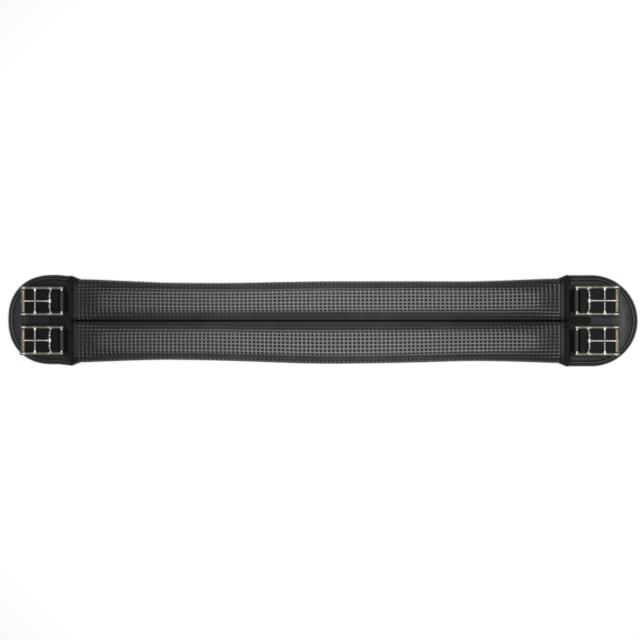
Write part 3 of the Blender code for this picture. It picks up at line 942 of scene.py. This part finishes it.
class GIRTH_OT_end_caps(bpy.types.Operator):
    """Gathered leather caps over the cover's ends, stitched, with a woven tape round each mouth"""

    bl_idname = "girth.end_caps"
    bl_label = "End caps"

    def execute(self, context):
        waffle = context.scene.girth_waffle
        leather = context.scene.girth_leather
        cap = leather_finish("cap leather", leather.cap_colour, 0.38, 1000.0, 0.12)
        tape = woven_finish("mouth tape weave", leather.tape_colour, 5, 130)
        thread = thread_finish("cap thread", leather.thread_colour)
        for end, direction in ENDS.items():
            point = cap_point_maker(direction, waffle)
            self.make_shell(end, direction, point, cap)
            self.make_tape(end, direction, tape)
            self.make_stitches(end, point, leather, thread)
        return {"FINISHED"}

    def make_shell(self, end, direction, point, material):
        name = f"{end}_cap_shell"
        shell = wrapped_sheet(name, CAP_RINGS, 2 * CAP_STEPS, point, joined=True)
        if direction < 0:
            turn_over(shell)
        thicken(shell, CAP_WALL, 0.0003)
        name_piece(shell, name, material, "girth", "leather", f"{end}_end_cap")

    def make_tape(self, end, direction, material):
        """Follows the mouth over both channels, tucked just under the cap's edge. Its dark weave is
        also painted shade, the shade that the cap casts round its mouth.
        """
        half_y, half_z = channel_outline(
            CAP_HIGH.y - 0.0009, 0.0, MOUTH_HIGH - 0.0012, 0.0, BINDING_TOP - 0.0002,
            CAP_MOUTH_FOOT, CAP_MOUTH_CROWN,
        )
        above = half_z > BINDING_TOP
        half_y, half_z = spread((half_y[above], half_z[above]), TAPE_STEPS // 2)

        def point(u, v):
            step = round(v * TAPE_STEPS) - TAPE_STEPS // 2
            y = math.copysign(half_y[abs(step)], step) if step else 0.0
            ripple = 0.00025 * noise.noise(Vector((y * 300.0, u, direction)))
            reach = mixed(-0.0022, TAPE_REACH, u)
            z = half_z[abs(step)] - 0.0006 * smooth_step(u) + ripple
            y -= math.copysign(0.0030, y) * smooth_step((BINDING_TOP + 0.0035 - z) / 0.0035)
            return (MIDDLE + direction * (CAP_END + reach), y, z)

        name = f"{end}_mouth_tape"
        tape = wrapped_sheet(name, 6, TAPE_STEPS, point)
        if direction < 0:
            turn_over(tape)
        thicken(tape, TAPE_WALL, 0.0002)
        name_piece(tape, name, material, "girth", "webbing")

    def make_stitches(self, end, point, leather, thread):
        """Two rows over each channel: into the cover, and along the mouth."""
        for row, u in (("cover", 0.18), ("mouth", 0.86)):
            for side, first, last in (("front", 0.02, 0.215), ("rear", 0.785, 0.98)):
                path = [Vector(point(u, mixed(first, last, i / 40))) for i in range(41)]
                name = f"{end}_cap_stitches_{row}_{side}"
                stitches = run_of_stitches(
                    name, path, leather.stitch_length, leather.stitch_gap, leather.thread_radius
                )
                name_piece(stitches, name, thread, "girth", "webbing")


def pad_mouth(direction):
    """How far from the origin the cap's mouth lies, at this end."""
    return CAP_END + direction * MIDDLE


def pad_path(end, direction, inset, steps=PAD_STEPS):
    """The end pad's outline this far in from its edge, from its front corner to its rear one."""
    mouth = pad_mouth(direction) + 0.0002
    half_width = PAD_RADIUS - inset
    power = 2 / PAD_SQUARENESS[end]
    straight = steps // 6
    points = []
    for i in range(straight):
        points.append((mixed(mouth, PAD_CENTRE, i / straight), half_width))
    for i in range(steps - 2 * straight + 1):
        angle = math.pi / 2 - math.pi * i / (steps - 2 * straight)
        along = max(math.cos(angle), 0.0) ** power
        across = math.copysign(abs(math.sin(angle)) ** power, math.sin(angle))
        points.append((PAD_CENTRE + half_width * along, half_width * across))
    for i in range(straight):
        points.append((mixed(PAD_CENTRE, mouth, (i + 1) / straight), -half_width))
    return [Vector((direction * x, direction * y, 0.0)) for x, y in points]


def binding_profile():
    """(inset, height) round the folded binding, from its lower lip to its upper lip."""
    top = BINDING_TOP
    return [
        (0.0068, 0.0002), (0.0045, 0.0), (0.0024, 0.0001), (0.0012, 0.0005), (0.0004, 0.0014),
        (0.0, 0.0027), (0.0001, 0.0040), (0.0006, 0.0051), (0.0013, top - 0.0021),
        (0.0021, top - 0.0013), (0.0030, top - 0.0006), (0.0039, top - 0.0002), (0.0047, top),
        (0.0054, top - 0.0002), (0.0061, top - 0.0007), (0.0067, top - 0.0013),
    ]


class GIRTH_OT_end_pads(bpy.types.Operator):
    """Rounded end pads: a stuffed leather and jersey cushion, a bound edge and a centre tab"""

    bl_idname = "girth.end_pads"
    bl_label = "End pads"

    def execute(self, context):
        leather = context.scene.girth_leather
        face = leather_finish(
            "pad leather", leather.face_colour, 0.38, 1500.0, 0.05, "open", leather.sheen_colour
        )
        edge = leather_finish("binding leather", leather.binding_colour, 0.36, 1200.0, 0.35)
        lining = knit_finish("pad jersey", leather.lining_colour)
        tab = woven_finish("centre tab weave", leather.tape_colour, 7, 60, 0.12)
        thread = thread_finish("pad thread", scaled(leather.thread_colour, 1.6))
        for end, direction in ENDS.items():
            self.make_cushion(end, direction, face, lining)
            self.make_binding(end, direction, edge)
            self.make_tab(end, direction, tab)
            self.make_stitches(end, direction, leather, thread)
        for part in ("cushion", "edge", "stitches_upper", "stitches_lower"):
            self.sew_askew(bpy.data.objects[f"left_pad_{part}"], leather.askew)
        return {"FINISHED"}

    def sew_askew(self, piece, shift):
        """Moves a piece of an end pad forwards, more and more outwards from the cap's mouth."""
        for vertex in piece.data.vertices:
            vertex.co.y += shift * smooth_step((abs(vertex.co.x - MIDDLE) - CAP_END) / ASKEW_RUN)

    def make_cushion(self, end, direction, face, lining):
        """Two sheets sewn round their edge, as a D whose straight side goes into the cap."""
        neck = pad_mouth(direction) - 0.0045
        reach = PAD_RADIUS - PAD_RIM
        power = PAD_SQUARENESS[end]

        def point(a, b, upper):
            if a >= 0:
                x = a * math.sqrt(1 - b * b / 2)
                y = b * math.sqrt(1 - a * a / 2)
                radius = math.hypot(x, y)
                if radius > 0:
                    bend = (abs(x / radius) ** power + abs(y / radius) ** power) ** (-1 / power)
                    x, y = x * bend, y * bend
                edge = (1 - radius) * reach
                x = PAD_CENTRE + x * reach
            else:
                x = mixed(PAD_CENTRE, neck, -a)
                y = b * (1 - 0.06 * smooth_step((neck + 0.008 - x) / 0.004))
                edge = min((1 - abs(b)) * reach, 0.02 + (1 + a) * (PAD_CENTRE - neck))
            rise = min(edge / 0.0046, 1.0)
            rise = math.sqrt(1 - (1 - rise) ** 2)
            dished = FACE_TOP - DISH * smooth_step((edge - 0.003) / 0.018)
            z = mixed(PAD_SEAM_HEIGHT, dished if upper else PAD_FLOOR, rise)
            return (direction * x, direction * y * reach, z)

        name = f"{end}_pad_cushion"
        pad = pillow(name, PAD_CELLS, point)
        self.plump(pad, direction)
        self.mark_painted_sheen(pad, direction)
        name_piece(
            pad, name, face, "girth", "leather",
            f"{end}_pad_face", f"{end}_pad_foam", f"{end}_pad_lining",
        )
        pad.data.materials.append(lining)
        for polygon in pad.data.polygons:
            polygon.material_index = 1 if polygon.center.z < PAD_SEAM_HEIGHT else 0
        smooth(pad, 60)

    def mark_painted_sheen(self, pad, direction):
        """Marks in "open" what lies free: 1 beyond the buckles, less beside them, 0 below them.
        There the pads get their painted sheen, and below the buckles they keep their painted shade.
        """
        roller_at = ROLLER_AT + direction * MIDDLE
        shade = pad.data.attributes.new("open", "FLOAT", "POINT")
        for vertex in pad.data.vertices:
            beyond = smooth_step((abs(vertex.co.x) - roller_at + 0.001) / 0.010)
            beside = 0.35 * smooth_step((abs(abs(vertex.co.y) - STRAP_OFFSET) - 0.0155) / 0.006)
            shade.data[vertex.index].value = max(beyond, beside)

    def plump(self, pad, direction):
        """Stuffing swells the cushion, held in round its edge, in the cap and under the straps."""
        held = []
        for vertex in pad.data.vertices:
            x, _, z = vertex.co
            under_buckles = z > 0.004 and abs(x) < ROLLER_AT + direction * MIDDLE - 0.002
            in_cap = abs(x) < pad_mouth(direction) + 0.001
            if 0.0016 < z < 0.0050 or in_cap or under_buckles:
                held.append(vertex.index)
        swell(pad, held, 3.0, PAD_SWELL)
        for vertex in pad.data.vertices:
            vertex.co.z = min(max(vertex.co.z, 0.0006), FACE_TOP + 0.0009)

    def make_binding(self, end, direction, material):
        profile = binding_profile()
        steps = len(profile) - 1
        paths = {inset: pad_path(end, direction, inset) for inset, _ in profile}

        def point(u, v):
            inset, height = profile[round(v * steps)]
            path = paths[inset]
            base = path[round(u * (len(path) - 1))]
            ripple = 0.00018 * noise.noise(Vector((base.x * 70, base.y * 70, 300.0 * inset)))
            lift = ripple if height > 0.001 else 0.0
            return (base.x, base.y, max(height + lift, 0.0))

        name = f"{end}_pad_edge"
        binding = wrapped_sheet(name, PAD_STEPS, steps, point)
        turn_over(binding)
        thicken(binding, TAPE_WALL, 0.0002)
        name_piece(binding, name, material, "girth", "leather", f"{end}_pad_binding")

    def make_tab(self, end, direction, material):
        """Webbing sewn down between the buckles, ridged across by its bars of stitches."""
        start = pad_mouth(direction) - 0.002

        def point(u, v):
            taper = 1 - 0.25 * smooth_step((u - 0.86) / 0.14)
            across = (v - 0.5) * TAB_WIDTH * taper
            bars = abs(math.sin(math.pi * u * TAB_LENGTH / TAB_BARS)) ** 0.4
            z = FACE_TOP + 0.0006 + 0.0006 * bars - 0.0005 * (2 * abs(v - 0.5)) ** 4
            return (direction * (start + u * TAB_LENGTH), direction * across, z)

        name = f"{end}_centre_tab"
        tab = wrapped_sheet(name, 64, 12, point)
        thicken(tab, TAPE_WALL, 0.0002)
        name_piece(tab, name, material, "girth", "webbing")

    def make_stitches(self, end, direction, leather, thread):
        """A line of stitches through the binding, just inside its crest, above and below."""
        inset = leather.binding_width - 0.0011
        for label, height, side in (("upper", BINDING_TOP - 0.0004, 1), ("lower", 0.0001, -1)):
            path = pad_path(end, direction, inset, 240)
            path = [Vector((place.x, place.y, height)) for place in path]
            name = f"{end}_pad_stitches_{label}"
            stitches = run_of_stitches(
                name, path, leather.stitch_length, leather.stitch_gap, leather.thread_radius,
                (0, 0, side),
            )
            for vertex in stitches.data.vertices:
                vertex.co.z = max(vertex.co.z, 0.00002)
            name_piece(stitches, name, thread, "girth", "webbing")


# ---------------------------------------------------------------- straps

STRAP_WALL = 0.0016
# How far the upper layer comes down behind the bar, and within what length
STRAP_DROP = 0.0020
STRAP_DROP_RUN = 0.011
LOWER_STEPS, FOLD_STEPS, UPPER_STEPS = 10, 16, 20
# Where along the strap's line its fold is highest
CREST_ALONG = (LOWER_STEPS + FOLD_STEPS) / (LOWER_STEPS + FOLD_STEPS + UPPER_STEPS)


def strap_line(end, side):
    """(x, z) points along the middle of the strap, from its lower tail round the bar."""
    low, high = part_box(f"{end}_{side}_elastic_strap")
    bar = joint_point(f"{end}_{side}_buckle_swing")
    turn = bar.z - low.z - STRAP_WALL / 2
    tail = high.x - low.x - turn - STRAP_WALL / 2
    line = [(-tail + tail * i / LOWER_STEPS, -turn) for i in range(LOWER_STEPS)]
    for i in range(FOLD_STEPS + 1):
        angle = -math.pi / 2 + math.pi * i / FOLD_STEPS
        line.append((turn * math.cos(angle), turn * math.sin(angle)))
    for i in range(1, UPPER_STEPS + 1):
        back = tail * i / UPPER_STEPS
        line.append((-back, turn - STRAP_DROP * smooth_step(back / STRAP_DROP_RUN)))
    return [(bar.x + ENDS[end] * x, bar.z + z) for x, z in line], bar


class GIRTH_OT_straps(bpy.types.Operator):
    """Elastic straps folded round the buckles' inner bars"""

    bl_idname = "girth.straps"
    bl_label = "Elastic straps"

    def execute(self, context):
        sizes = context.scene.girth_strap
        material = woven_finish(
            "woven elastic", sizes.colour, sizes.ribs, 150, 0.06, CREST_ALONG, sizes.crest_highlight_colour
        )
        for end, direction in ENDS.items():
            for side in SIDES:
                self.make_strap(end, side, direction, sizes, material)
        return {"FINISHED"}

    def make_strap(self, end, side, direction, sizes, material):
        node = f"{end}_{side}_elastic_strap"
        low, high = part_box(node)
        line, bar = strap_line(end, side)
        columns = len(line) - 1

        def point(u, v):
            x, z = line[round(u * columns)]
            return (x, mixed(low.y, high.y, v), z)

        name = f"{end}_{side}_strap_elastic"
        strap = wrapped_sheet(name, columns, 2 * sizes.ribs, point)
        thicken(strap, STRAP_WALL, 0.0004, offset=0.0, angle=60)
        name_piece(strap, name, material, None, "elastic", node)
        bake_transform(strap)


# ---------------------------------------------------------------- buckles

# Frame: places along it are from the inner bar, and across it from its middle
RAIL_WIDTH = 0.0040
INNER_BAR_RADIUS = 0.0018
PIN_RADIUS = 0.0015
PIN_FROM_END = 0.0034
MIDDLE_BAR_AT = 0.0323
MIDDLE_BAR_RADIUS = 0.0016
MIDDLE_BAR_MOST = 0.0021  # so that its flares stay inside the rails
FLARE_LENGTH = 0.0055

# Hinge bar: its beads, and how its ends sweep back towards the inner bar
HINGE_RADIUS = 0.00155
BEAD_AT = 0.0060
BEAD_RISE = 0.0007
SWEEP = 0.0018
SWEEP_START = 0.0080

# Roller, and the tongue that rests on it
ROLLER_RADIUS = 0.0028
ROLLER_EDGE = 0.0004
ROLLER_BORE = 0.00178
EYE_RADIUS = 0.0030
EYE_WIDTH = 0.0046
EYE_BORE = 0.00165
TIP_RADIUS = 0.00115
TIP_CLEARANCE = 0.0003


def sized(size):
    """Gives the primitive just added its size."""
    piece = bpy.context.object
    piece.scale = size
    bpy.ops.object.transform_apply(location=True, rotation=True, scale=True)
    return piece


def rounded_rail(size, centre):
    start_piece()
    bpy.ops.mesh.primitive_cube_add(size=1.0, location=centre)
    rail = sized(size)
    with editing():
        bpy.ops.mesh.bevel(offset=0.0013, segments=4, affect="EDGES")
    return rail


def pin_boss(centre):
    """The swelling on a rail where the roller's pin is riveted over."""
    start_piece()
    bpy.ops.mesh.primitive_uv_sphere_add(segments=24, ring_count=16, radius=1.0, location=centre)
    return sized((0.0033, 0.0021, 0.0026))


def cross_cylinder(radius, width, sides):
    """A closed cylinder lying across the girth."""
    start_piece()
    bpy.ops.mesh.primitive_cylinder_add(
        vertices=sides, radius=radius, depth=width, rotation=(math.pi / 2, 0, 0)
    )
    return sized((1, 1, 1))


def swept_bar(points, radii):
    """A round bar through points, with its own radius at each, as a mesh."""
    start_piece()
    curve = bpy.data.curves.new("bar", "CURVE")
    curve.dimensions = "3D"
    curve.bevel_depth = 1.0
    curve.bevel_resolution = 6
    curve.use_fill_caps = True
    spline = curve.splines.new("POLY")
    spline.points.add(len(points) - 1)
    for target, place, radius in zip(spline.points, points, radii):
        target.co = (*place, 1.0)
        target.radius = radius
    bar = bpy.data.objects.new("bar", curve)
    bpy.context.scene.collection.objects.link(bar)
    bar.select_set(True)
    bpy.context.view_layer.objects.active = bar
    bpy.ops.object.convert(target="MESH")
    return bpy.context.object


def cast_together(pieces, name, cell, rounds=3):
    """Joins overlapping pieces into one casting, with soft fillets where they meet."""
    start_piece()
    for piece in pieces:
        piece.select_set(True)
    bpy.context.view_layer.objects.active = pieces[0]
    bpy.ops.object.join()
    casting = bpy.context.object
    with editing():
        bpy.ops.mesh.remove_doubles(threshold=1e-6)
        bpy.ops.mesh.normals_make_consistent(inside=False)
    remesh = casting.modifiers.new("cast", "REMESH")
    remesh.mode = "VOXEL"
    remesh.voxel_size = cell
    polish = casting.modifiers.new("polish", "SMOOTH")
    polish.factor = 0.5
    polish.iterations = rounds
    apply_modifiers(casting)
    casting.name = name
    casting.data.shade_smooth()
    return casting


def paint_highlights(piece, spots, least, inner):
    """Marks in "wear_and_painted_highlight" how near each point is to a spot, given as (x, y either
    way, radius): the spots where highlights are painted on the steel.

    It is at least `least` between the rails, which are `inner` from the middle.
    """
    wear_and_painted_highlight = piece.data.attributes.new("wear_and_painted_highlight", "FLOAT", "POINT")
    for vertex in piece.data.vertices:
        x, y = vertex.co.x, abs(vertex.co.y)
        highlights = [least if y < inner else 0.0]
        for at_x, at_y, radius in spots:
            highlights.append(math.exp(-(((x - at_x) ** 2 + (y - at_y) ** 2) / radius**2)))
        wear_and_painted_highlight.data[vertex.index].value = max(highlights)


class GIRTH_OT_buckles(bpy.types.Operator):
    """Roller buckles: cast frame, tongue and roller"""

    bl_idname = "girth.buckles"
    bl_label = "Roller buckles"

    def execute(self, context):
        sizes = context.scene.girth_buckle
        cast = steel_finish("cast steel", sizes.colour, 0.46, sizes.highlight_colour)
        drawn = steel_finish("drawn steel", sizes.roller_colour, 0.50)
        seeds = None
        for end in ENDS:
            for side in SIDES:
                seeds = seeds or self.model_once(end, side, sizes)
                self.place_copies(end, side, seeds, cast, drawn)
        for seed in seeds.values():
            bpy.data.objects.remove(seed, do_unlink=True)
        return {"FINISHED"}

    def model_once(self, end, side, sizes):
        """One buckle's three pieces, from its inner bar's axis outwards along +X."""
        swing = joint_point(f"{end}_{side}_buckle_swing")
        hinge = (joint_point(f"{end}_{side}_tongue_lift") - swing).length
        roller = (joint_point(f"{end}_{side}_roller_spin") - swing).length
        low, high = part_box(f"{end}_{side}_buckle_frame")
        return {
            "frame": self.model_frame(hinge, roller, high - low, high.x - swing.x, sizes),
            "tongue": self.model_tongue(hinge, roller),
            "roller": self.model_roller(roller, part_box(f"{end}_{side}_buckle_roller")),
        }

    def model_frame(self, hinge, roller, span, outer_end, sizes):
        reach = span.y / 2 - RAIL_WIDTH / 2
        inner = reach - RAIL_WIDTH / 2
        centre = outer_end - span.x / 2
        boss = outer_end - PIN_FROM_END
        size = (span.x, RAIL_WIDTH, span.z)
        pieces = [rounded_rail(size, (centre, side * reach, 0)) for side in (1, -1)]
        pieces += [pin_boss((boss, side * reach, 0.0002)) for side in (1, -1)]
        for x, radius in ((0, INNER_BAR_RADIUS), (roller, PIN_RADIUS)):
            pieces.append(swept_bar([(x, -reach, 0), (x, reach, 0)], [radius, radius]))
        pieces.append(self.hinge_bar(hinge, reach, inner))
        pieces.append(self.middle_bar(reach, inner, sizes))
        frame_piece = cast_together(pieces, "buckle_frame_seed", sizes.grain)
        # Spots of painted highlight: the inner bar's corners, the pin bosses, the hinge beads and
        # ends, the middle bar's ends; the bars between the rails get some too.
        bright = [
            (0.0, inner, 0.0018), (boss, reach, 0.0026), (hinge, BEAD_AT, 0.0020),
            (hinge, inner, 0.0020), (MIDDLE_BAR_AT, inner, 0.0020),
        ]
        paint_highlights(frame_piece, bright, 0.18, inner)
        return frame_piece

    def hinge_bar(self, hinge, reach, inner):
        """A turned bar with a bead each side of the tongue, its ends swept back to the rails."""
        points, radii = [], []
        for away, y in self.across(reach, 44):
            sweep = SWEEP * smooth_step((away - SWEEP_START) / (reach - SWEEP_START))
            bead = BEAD_RISE * math.exp(-(((away - BEAD_AT) / 0.0011) ** 2))
            foot = 0.0007 * smooth_step((away - inner + 0.0030) / 0.0030)
            points.append((hinge - sweep, y, 0))
            radii.append(HINGE_RADIUS + bead + foot)
        return swept_bar(points, radii)

    def middle_bar(self, reach, inner, sizes):
        """A bar that flares like a trumpet into the rails."""
        points, radii = [], []
        for away, y in self.across(reach, 24):
            flare = max((away - inner + FLARE_LENGTH) / FLARE_LENGTH, 0.0)
            radius = MIDDLE_BAR_RADIUS + (sizes.flare_radius - MIDDLE_BAR_RADIUS) * flare**2
            points.append((MIDDLE_BAR_AT, y, 0))
            radii.append(min(radius, MIDDLE_BAR_MOST))
        return swept_bar(points, radii)

    def across(self, reach, steps):
        """(distance from the middle, y) at even steps from one rail to the other."""
        places = [reach * i / steps for i in range(-steps, steps + 1)]
        return [(abs(y), y) for y in places]

    def model_tongue(self, hinge, roller):
        """An eye wrapped round the hinge bar, and a tapered shank whose tip rests on the roller."""
        run = roller - hinge
        rest = ROLLER_RADIUS + TIP_CLEARANCE + TIP_RADIUS
        # x, z and radius along the shank
        line = [
            (0.0012, 0.0016, 0.0008), (0.0020, 0.0024, 0.00135), (0.0042, 0.0029, 0.0014),
            (run * 0.35, 0.0029, 0.0014), (run * 0.55, 0.0031, 0.00135),
            (run * 0.75, 0.0036, 0.0013), (run * 0.92, rest - 0.0001, 0.0012),
            (run + 0.0004, rest + 0.0001, TIP_RADIUS), (run + 0.0016, rest - 0.0002, 0.00085),
        ]
        shank = swept_bar([(x, 0, z) for x, z, _ in line], [radius for _, _, radius in line])
        eye = cross_cylinder(EYE_RADIUS, EYE_WIDTH, 32)
        with editing():
            bpy.ops.mesh.bevel(offset=0.0007, segments=3, affect="EDGES", clamp_overlap=True)
        bore = cross_cylinder(EYE_BORE, 0.010, 32)
        tongue = cast_together([eye, shank], "buckle_tongue_seed", 0.00022, 2)
        cut = tongue.modifiers.new("bore", "BOOLEAN")
        cut.operation = "DIFFERENCE"
        cut.solver = "EXACT"
        cut.object = bore
        apply_modifiers(tongue)
        bpy.data.objects.remove(bore, do_unlink=True)
        tongue.data.transform(Matrix.Translation((hinge, 0, 0)))
        # Painted highlight over the whole tongue, strongest on its outer part.
        paint_highlights(tongue, [(roller - 0.0035, 0.0, 0.0050)], 0.60, inner=1.0)
        smooth(tongue, 45)
        return tongue

    def model_roller(self, roller, box):
        """A rolled tube with turned-in ends."""
        low, high = box
        radius = (high.z - low.z) / 2
        tube = cross_cylinder(radius, high.y - low.y, 40)
        faces = tube.data.polygons
        with editing(everything=False):
            bpy.ops.mesh.select_mode(type="FACE")
        for face in faces:
            face.select = abs(face.normal.y) > 0.9
        with editing(everything=False):
            bpy.ops.mesh.bevel(offset=ROLLER_EDGE, segments=3, affect="EDGES")
        for face in faces:
            face.select = abs(face.normal.y) > 0.99 and face.area > 1e-6
        with editing(everything=False):
            bpy.ops.mesh.inset(thickness=radius - ROLLER_EDGE - ROLLER_BORE, depth=0.0)
            bpy.ops.mesh.delete(type="FACE")
            bpy.ops.mesh.select_mode(type="EDGE")
            bpy.ops.mesh.select_non_manifold()
            bpy.ops.mesh.bridge_edge_loops()
            bpy.ops.mesh.select_all(action="SELECT")
            bpy.ops.mesh.normals_make_consistent(inside=False)
        tube.data.transform(Matrix.Translation((roller, 0, 0)))
        tube.name = "buckle_roller_seed"
        smooth(tube, 35)
        return tube

    def place_copies(self, end, side, seeds, cast, drawn):
        """A copy of each seed, with its own mesh, at this buckle."""
        swing = joint_point(f"{end}_{side}_buckle_swing")
        turn = Matrix.Rotation(0.0 if ENDS[end] > 0 else math.pi, 4, "Z")
        for part, seed in seeds.items():
            mesh = seed.data.copy()
            mesh.transform(Matrix.Translation(swing) @ turn)
            body = f"{end}_{side}_{part}"
            piece = bpy.data.objects.new(f"{body}_steel", mesh)
            bpy.context.scene.collection.objects.link(piece)
            name_piece(
                piece, f"{body}_steel", drawn if part == "roller" else cast, body, "steel",
                f"{end}_{side}_buckle_{part}",
            )


# ---------------------------------------------------------------- inner layers


class GIRTH_OT_inner_layers(bpy.types.Operator):
    """Finishes for the foam and core webbing inside the cover"""

    bl_idname = "girth.inner_layers"
    bl_label = "Inner layers"

    def execute(self, context):
        foam = foam_finish("channel foam", (0.20, 0.20, 0.21))
        webbing = knit_finish("core webbing weave", (0.030, 0.030, 0.032))
        for side in SIDES:
            for layer in ("horse_side_foam", "outer_foam"):
                frame["nodes"][f"{side}_{layer}"].material_slots[0].material = foam
            frame["nodes"][f"{side}_core_webbing"].material_slots[0].material = webbing
        return {"FINISHED"}


# ---------------------------------------------------------------- stage


class GIRTH_OT_stage(bpy.types.Operator):
    """Pale floor, soft studio light and a camera straight above"""

    bl_idname = "girth.stage"
    bl_label = "Stage"

    def execute(self, context):
        sizes = context.scene.girth_stage
        self.add_floor()
        self.add_lights()
        self.add_camera(context, sizes)
        return {"FINISHED"}

    def add_floor(self):
        start_piece()
        bpy.ops.mesh.primitive_plane_add(size=8.0, location=(0, 0, -0.0003))
        floor = bpy.context.object
        floor.name = "studio_floor"
        finish = Finish("studio paper")
        finish.surface(Base_Color=(0.93, 0.93, 0.93), Roughness=0.9)
        floor.data.materials.append(finish.material)

    def add_lights(self):
        world = bpy.data.worlds.new("studio world")
        world.use_nodes = True
        background = world.node_tree.nodes["Background"].inputs
        background["Color"].default_value = (1, 1, 1, 1)
        background["Strength"].default_value = 0.30
        bpy.context.scene.world = world
        light = bpy.data.lights.new("overhead softbox", "AREA")
        light.shape = "RECTANGLE"
        light.size = 0.35
        light.size_y = 0.90
        light.energy = 18.0
        lamp = bpy.data.objects.new("overhead softbox", light)
        lamp.location = (0.05, 0.0, 1.30)
        lamp.rotation_euler = (-lamp.location).to_track_quat("-Z", "Y").to_euler()
        bpy.context.scene.collection.objects.link(lamp)

    def add_camera(self, context, sizes):
        camera = bpy.data.cameras.new("camera")
        camera.sensor_width = 36.0
        camera.lens = camera.sensor_width * sizes.distance / sizes.width_in_view
        holder = bpy.data.objects.new("camera", camera)
        context.scene.collection.objects.link(holder)
        aim = Vector((0.0011, 0.0009, 0.008))
        sine, cosine = math.sin(sizes.tilt), math.cos(sizes.tilt)
        lean = Vector((sine, 0, cosine))
        holder.location = aim + lean * sizes.distance
        turn = Matrix(((cosine, 0, -sine), (0, 1, 0), lean))
        holder.rotation_euler = turn.transposed().to_euler()
        context.scene.camera = holder
        context.scene.view_settings.view_transform = "Standard"


class GIRTH_PT_panel(bpy.types.Panel):
    """Lists the girth's pieces"""

    bl_idname = "GIRTH_PT_panel"
    bl_label = "Saddle girth"
    bl_space_type = "VIEW_3D"
    bl_region_type = "UI"
    bl_category = "Girth"

    def draw(self, context):
        column = self.layout.column(align=True)
        for operator in OPERATORS:
            column.operator(operator.bl_idname)


OPERATORS = (
    GIRTH_OT_stage,
    GIRTH_OT_waffle_cover,
    GIRTH_OT_seam_stitches,
    GIRTH_OT_end_caps,
    GIRTH_OT_end_pads,
    GIRTH_OT_straps,
    GIRTH_OT_buckles,
    GIRTH_OT_inner_layers,
)

SETTINGS = {
    "girth_waffle": WaffleSizes,
    "girth_leather": LeatherSizes,
    "girth_strap": StrapSizes,
    "girth_buckle": BuckleSizes,
    "girth_stage": StageSizes,
}


def register():
    for settings in SETTINGS.values():
        bpy.utils.register_class(settings)
    for made in (*OPERATORS, GIRTH_PT_panel):
        bpy.utils.register_class(made)
    for name, settings in SETTINGS.items():
        setattr(bpy.types.Scene, name, bpy.props.PointerProperty(type=settings))


def unregister():
    for name in SETTINGS:
        delattr(bpy.types.Scene, name)
    for made in (GIRTH_PT_panel, *reversed(OPERATORS), *reversed(list(SETTINGS.values()))):
        bpy.utils.unregister_class(made)


def main():
    register()
    for operator in OPERATORS:
        group, name = operator.bl_idname.split(".")
        getattr(getattr(bpy.ops, group), name)()


if __name__ == "__main__":
    main()
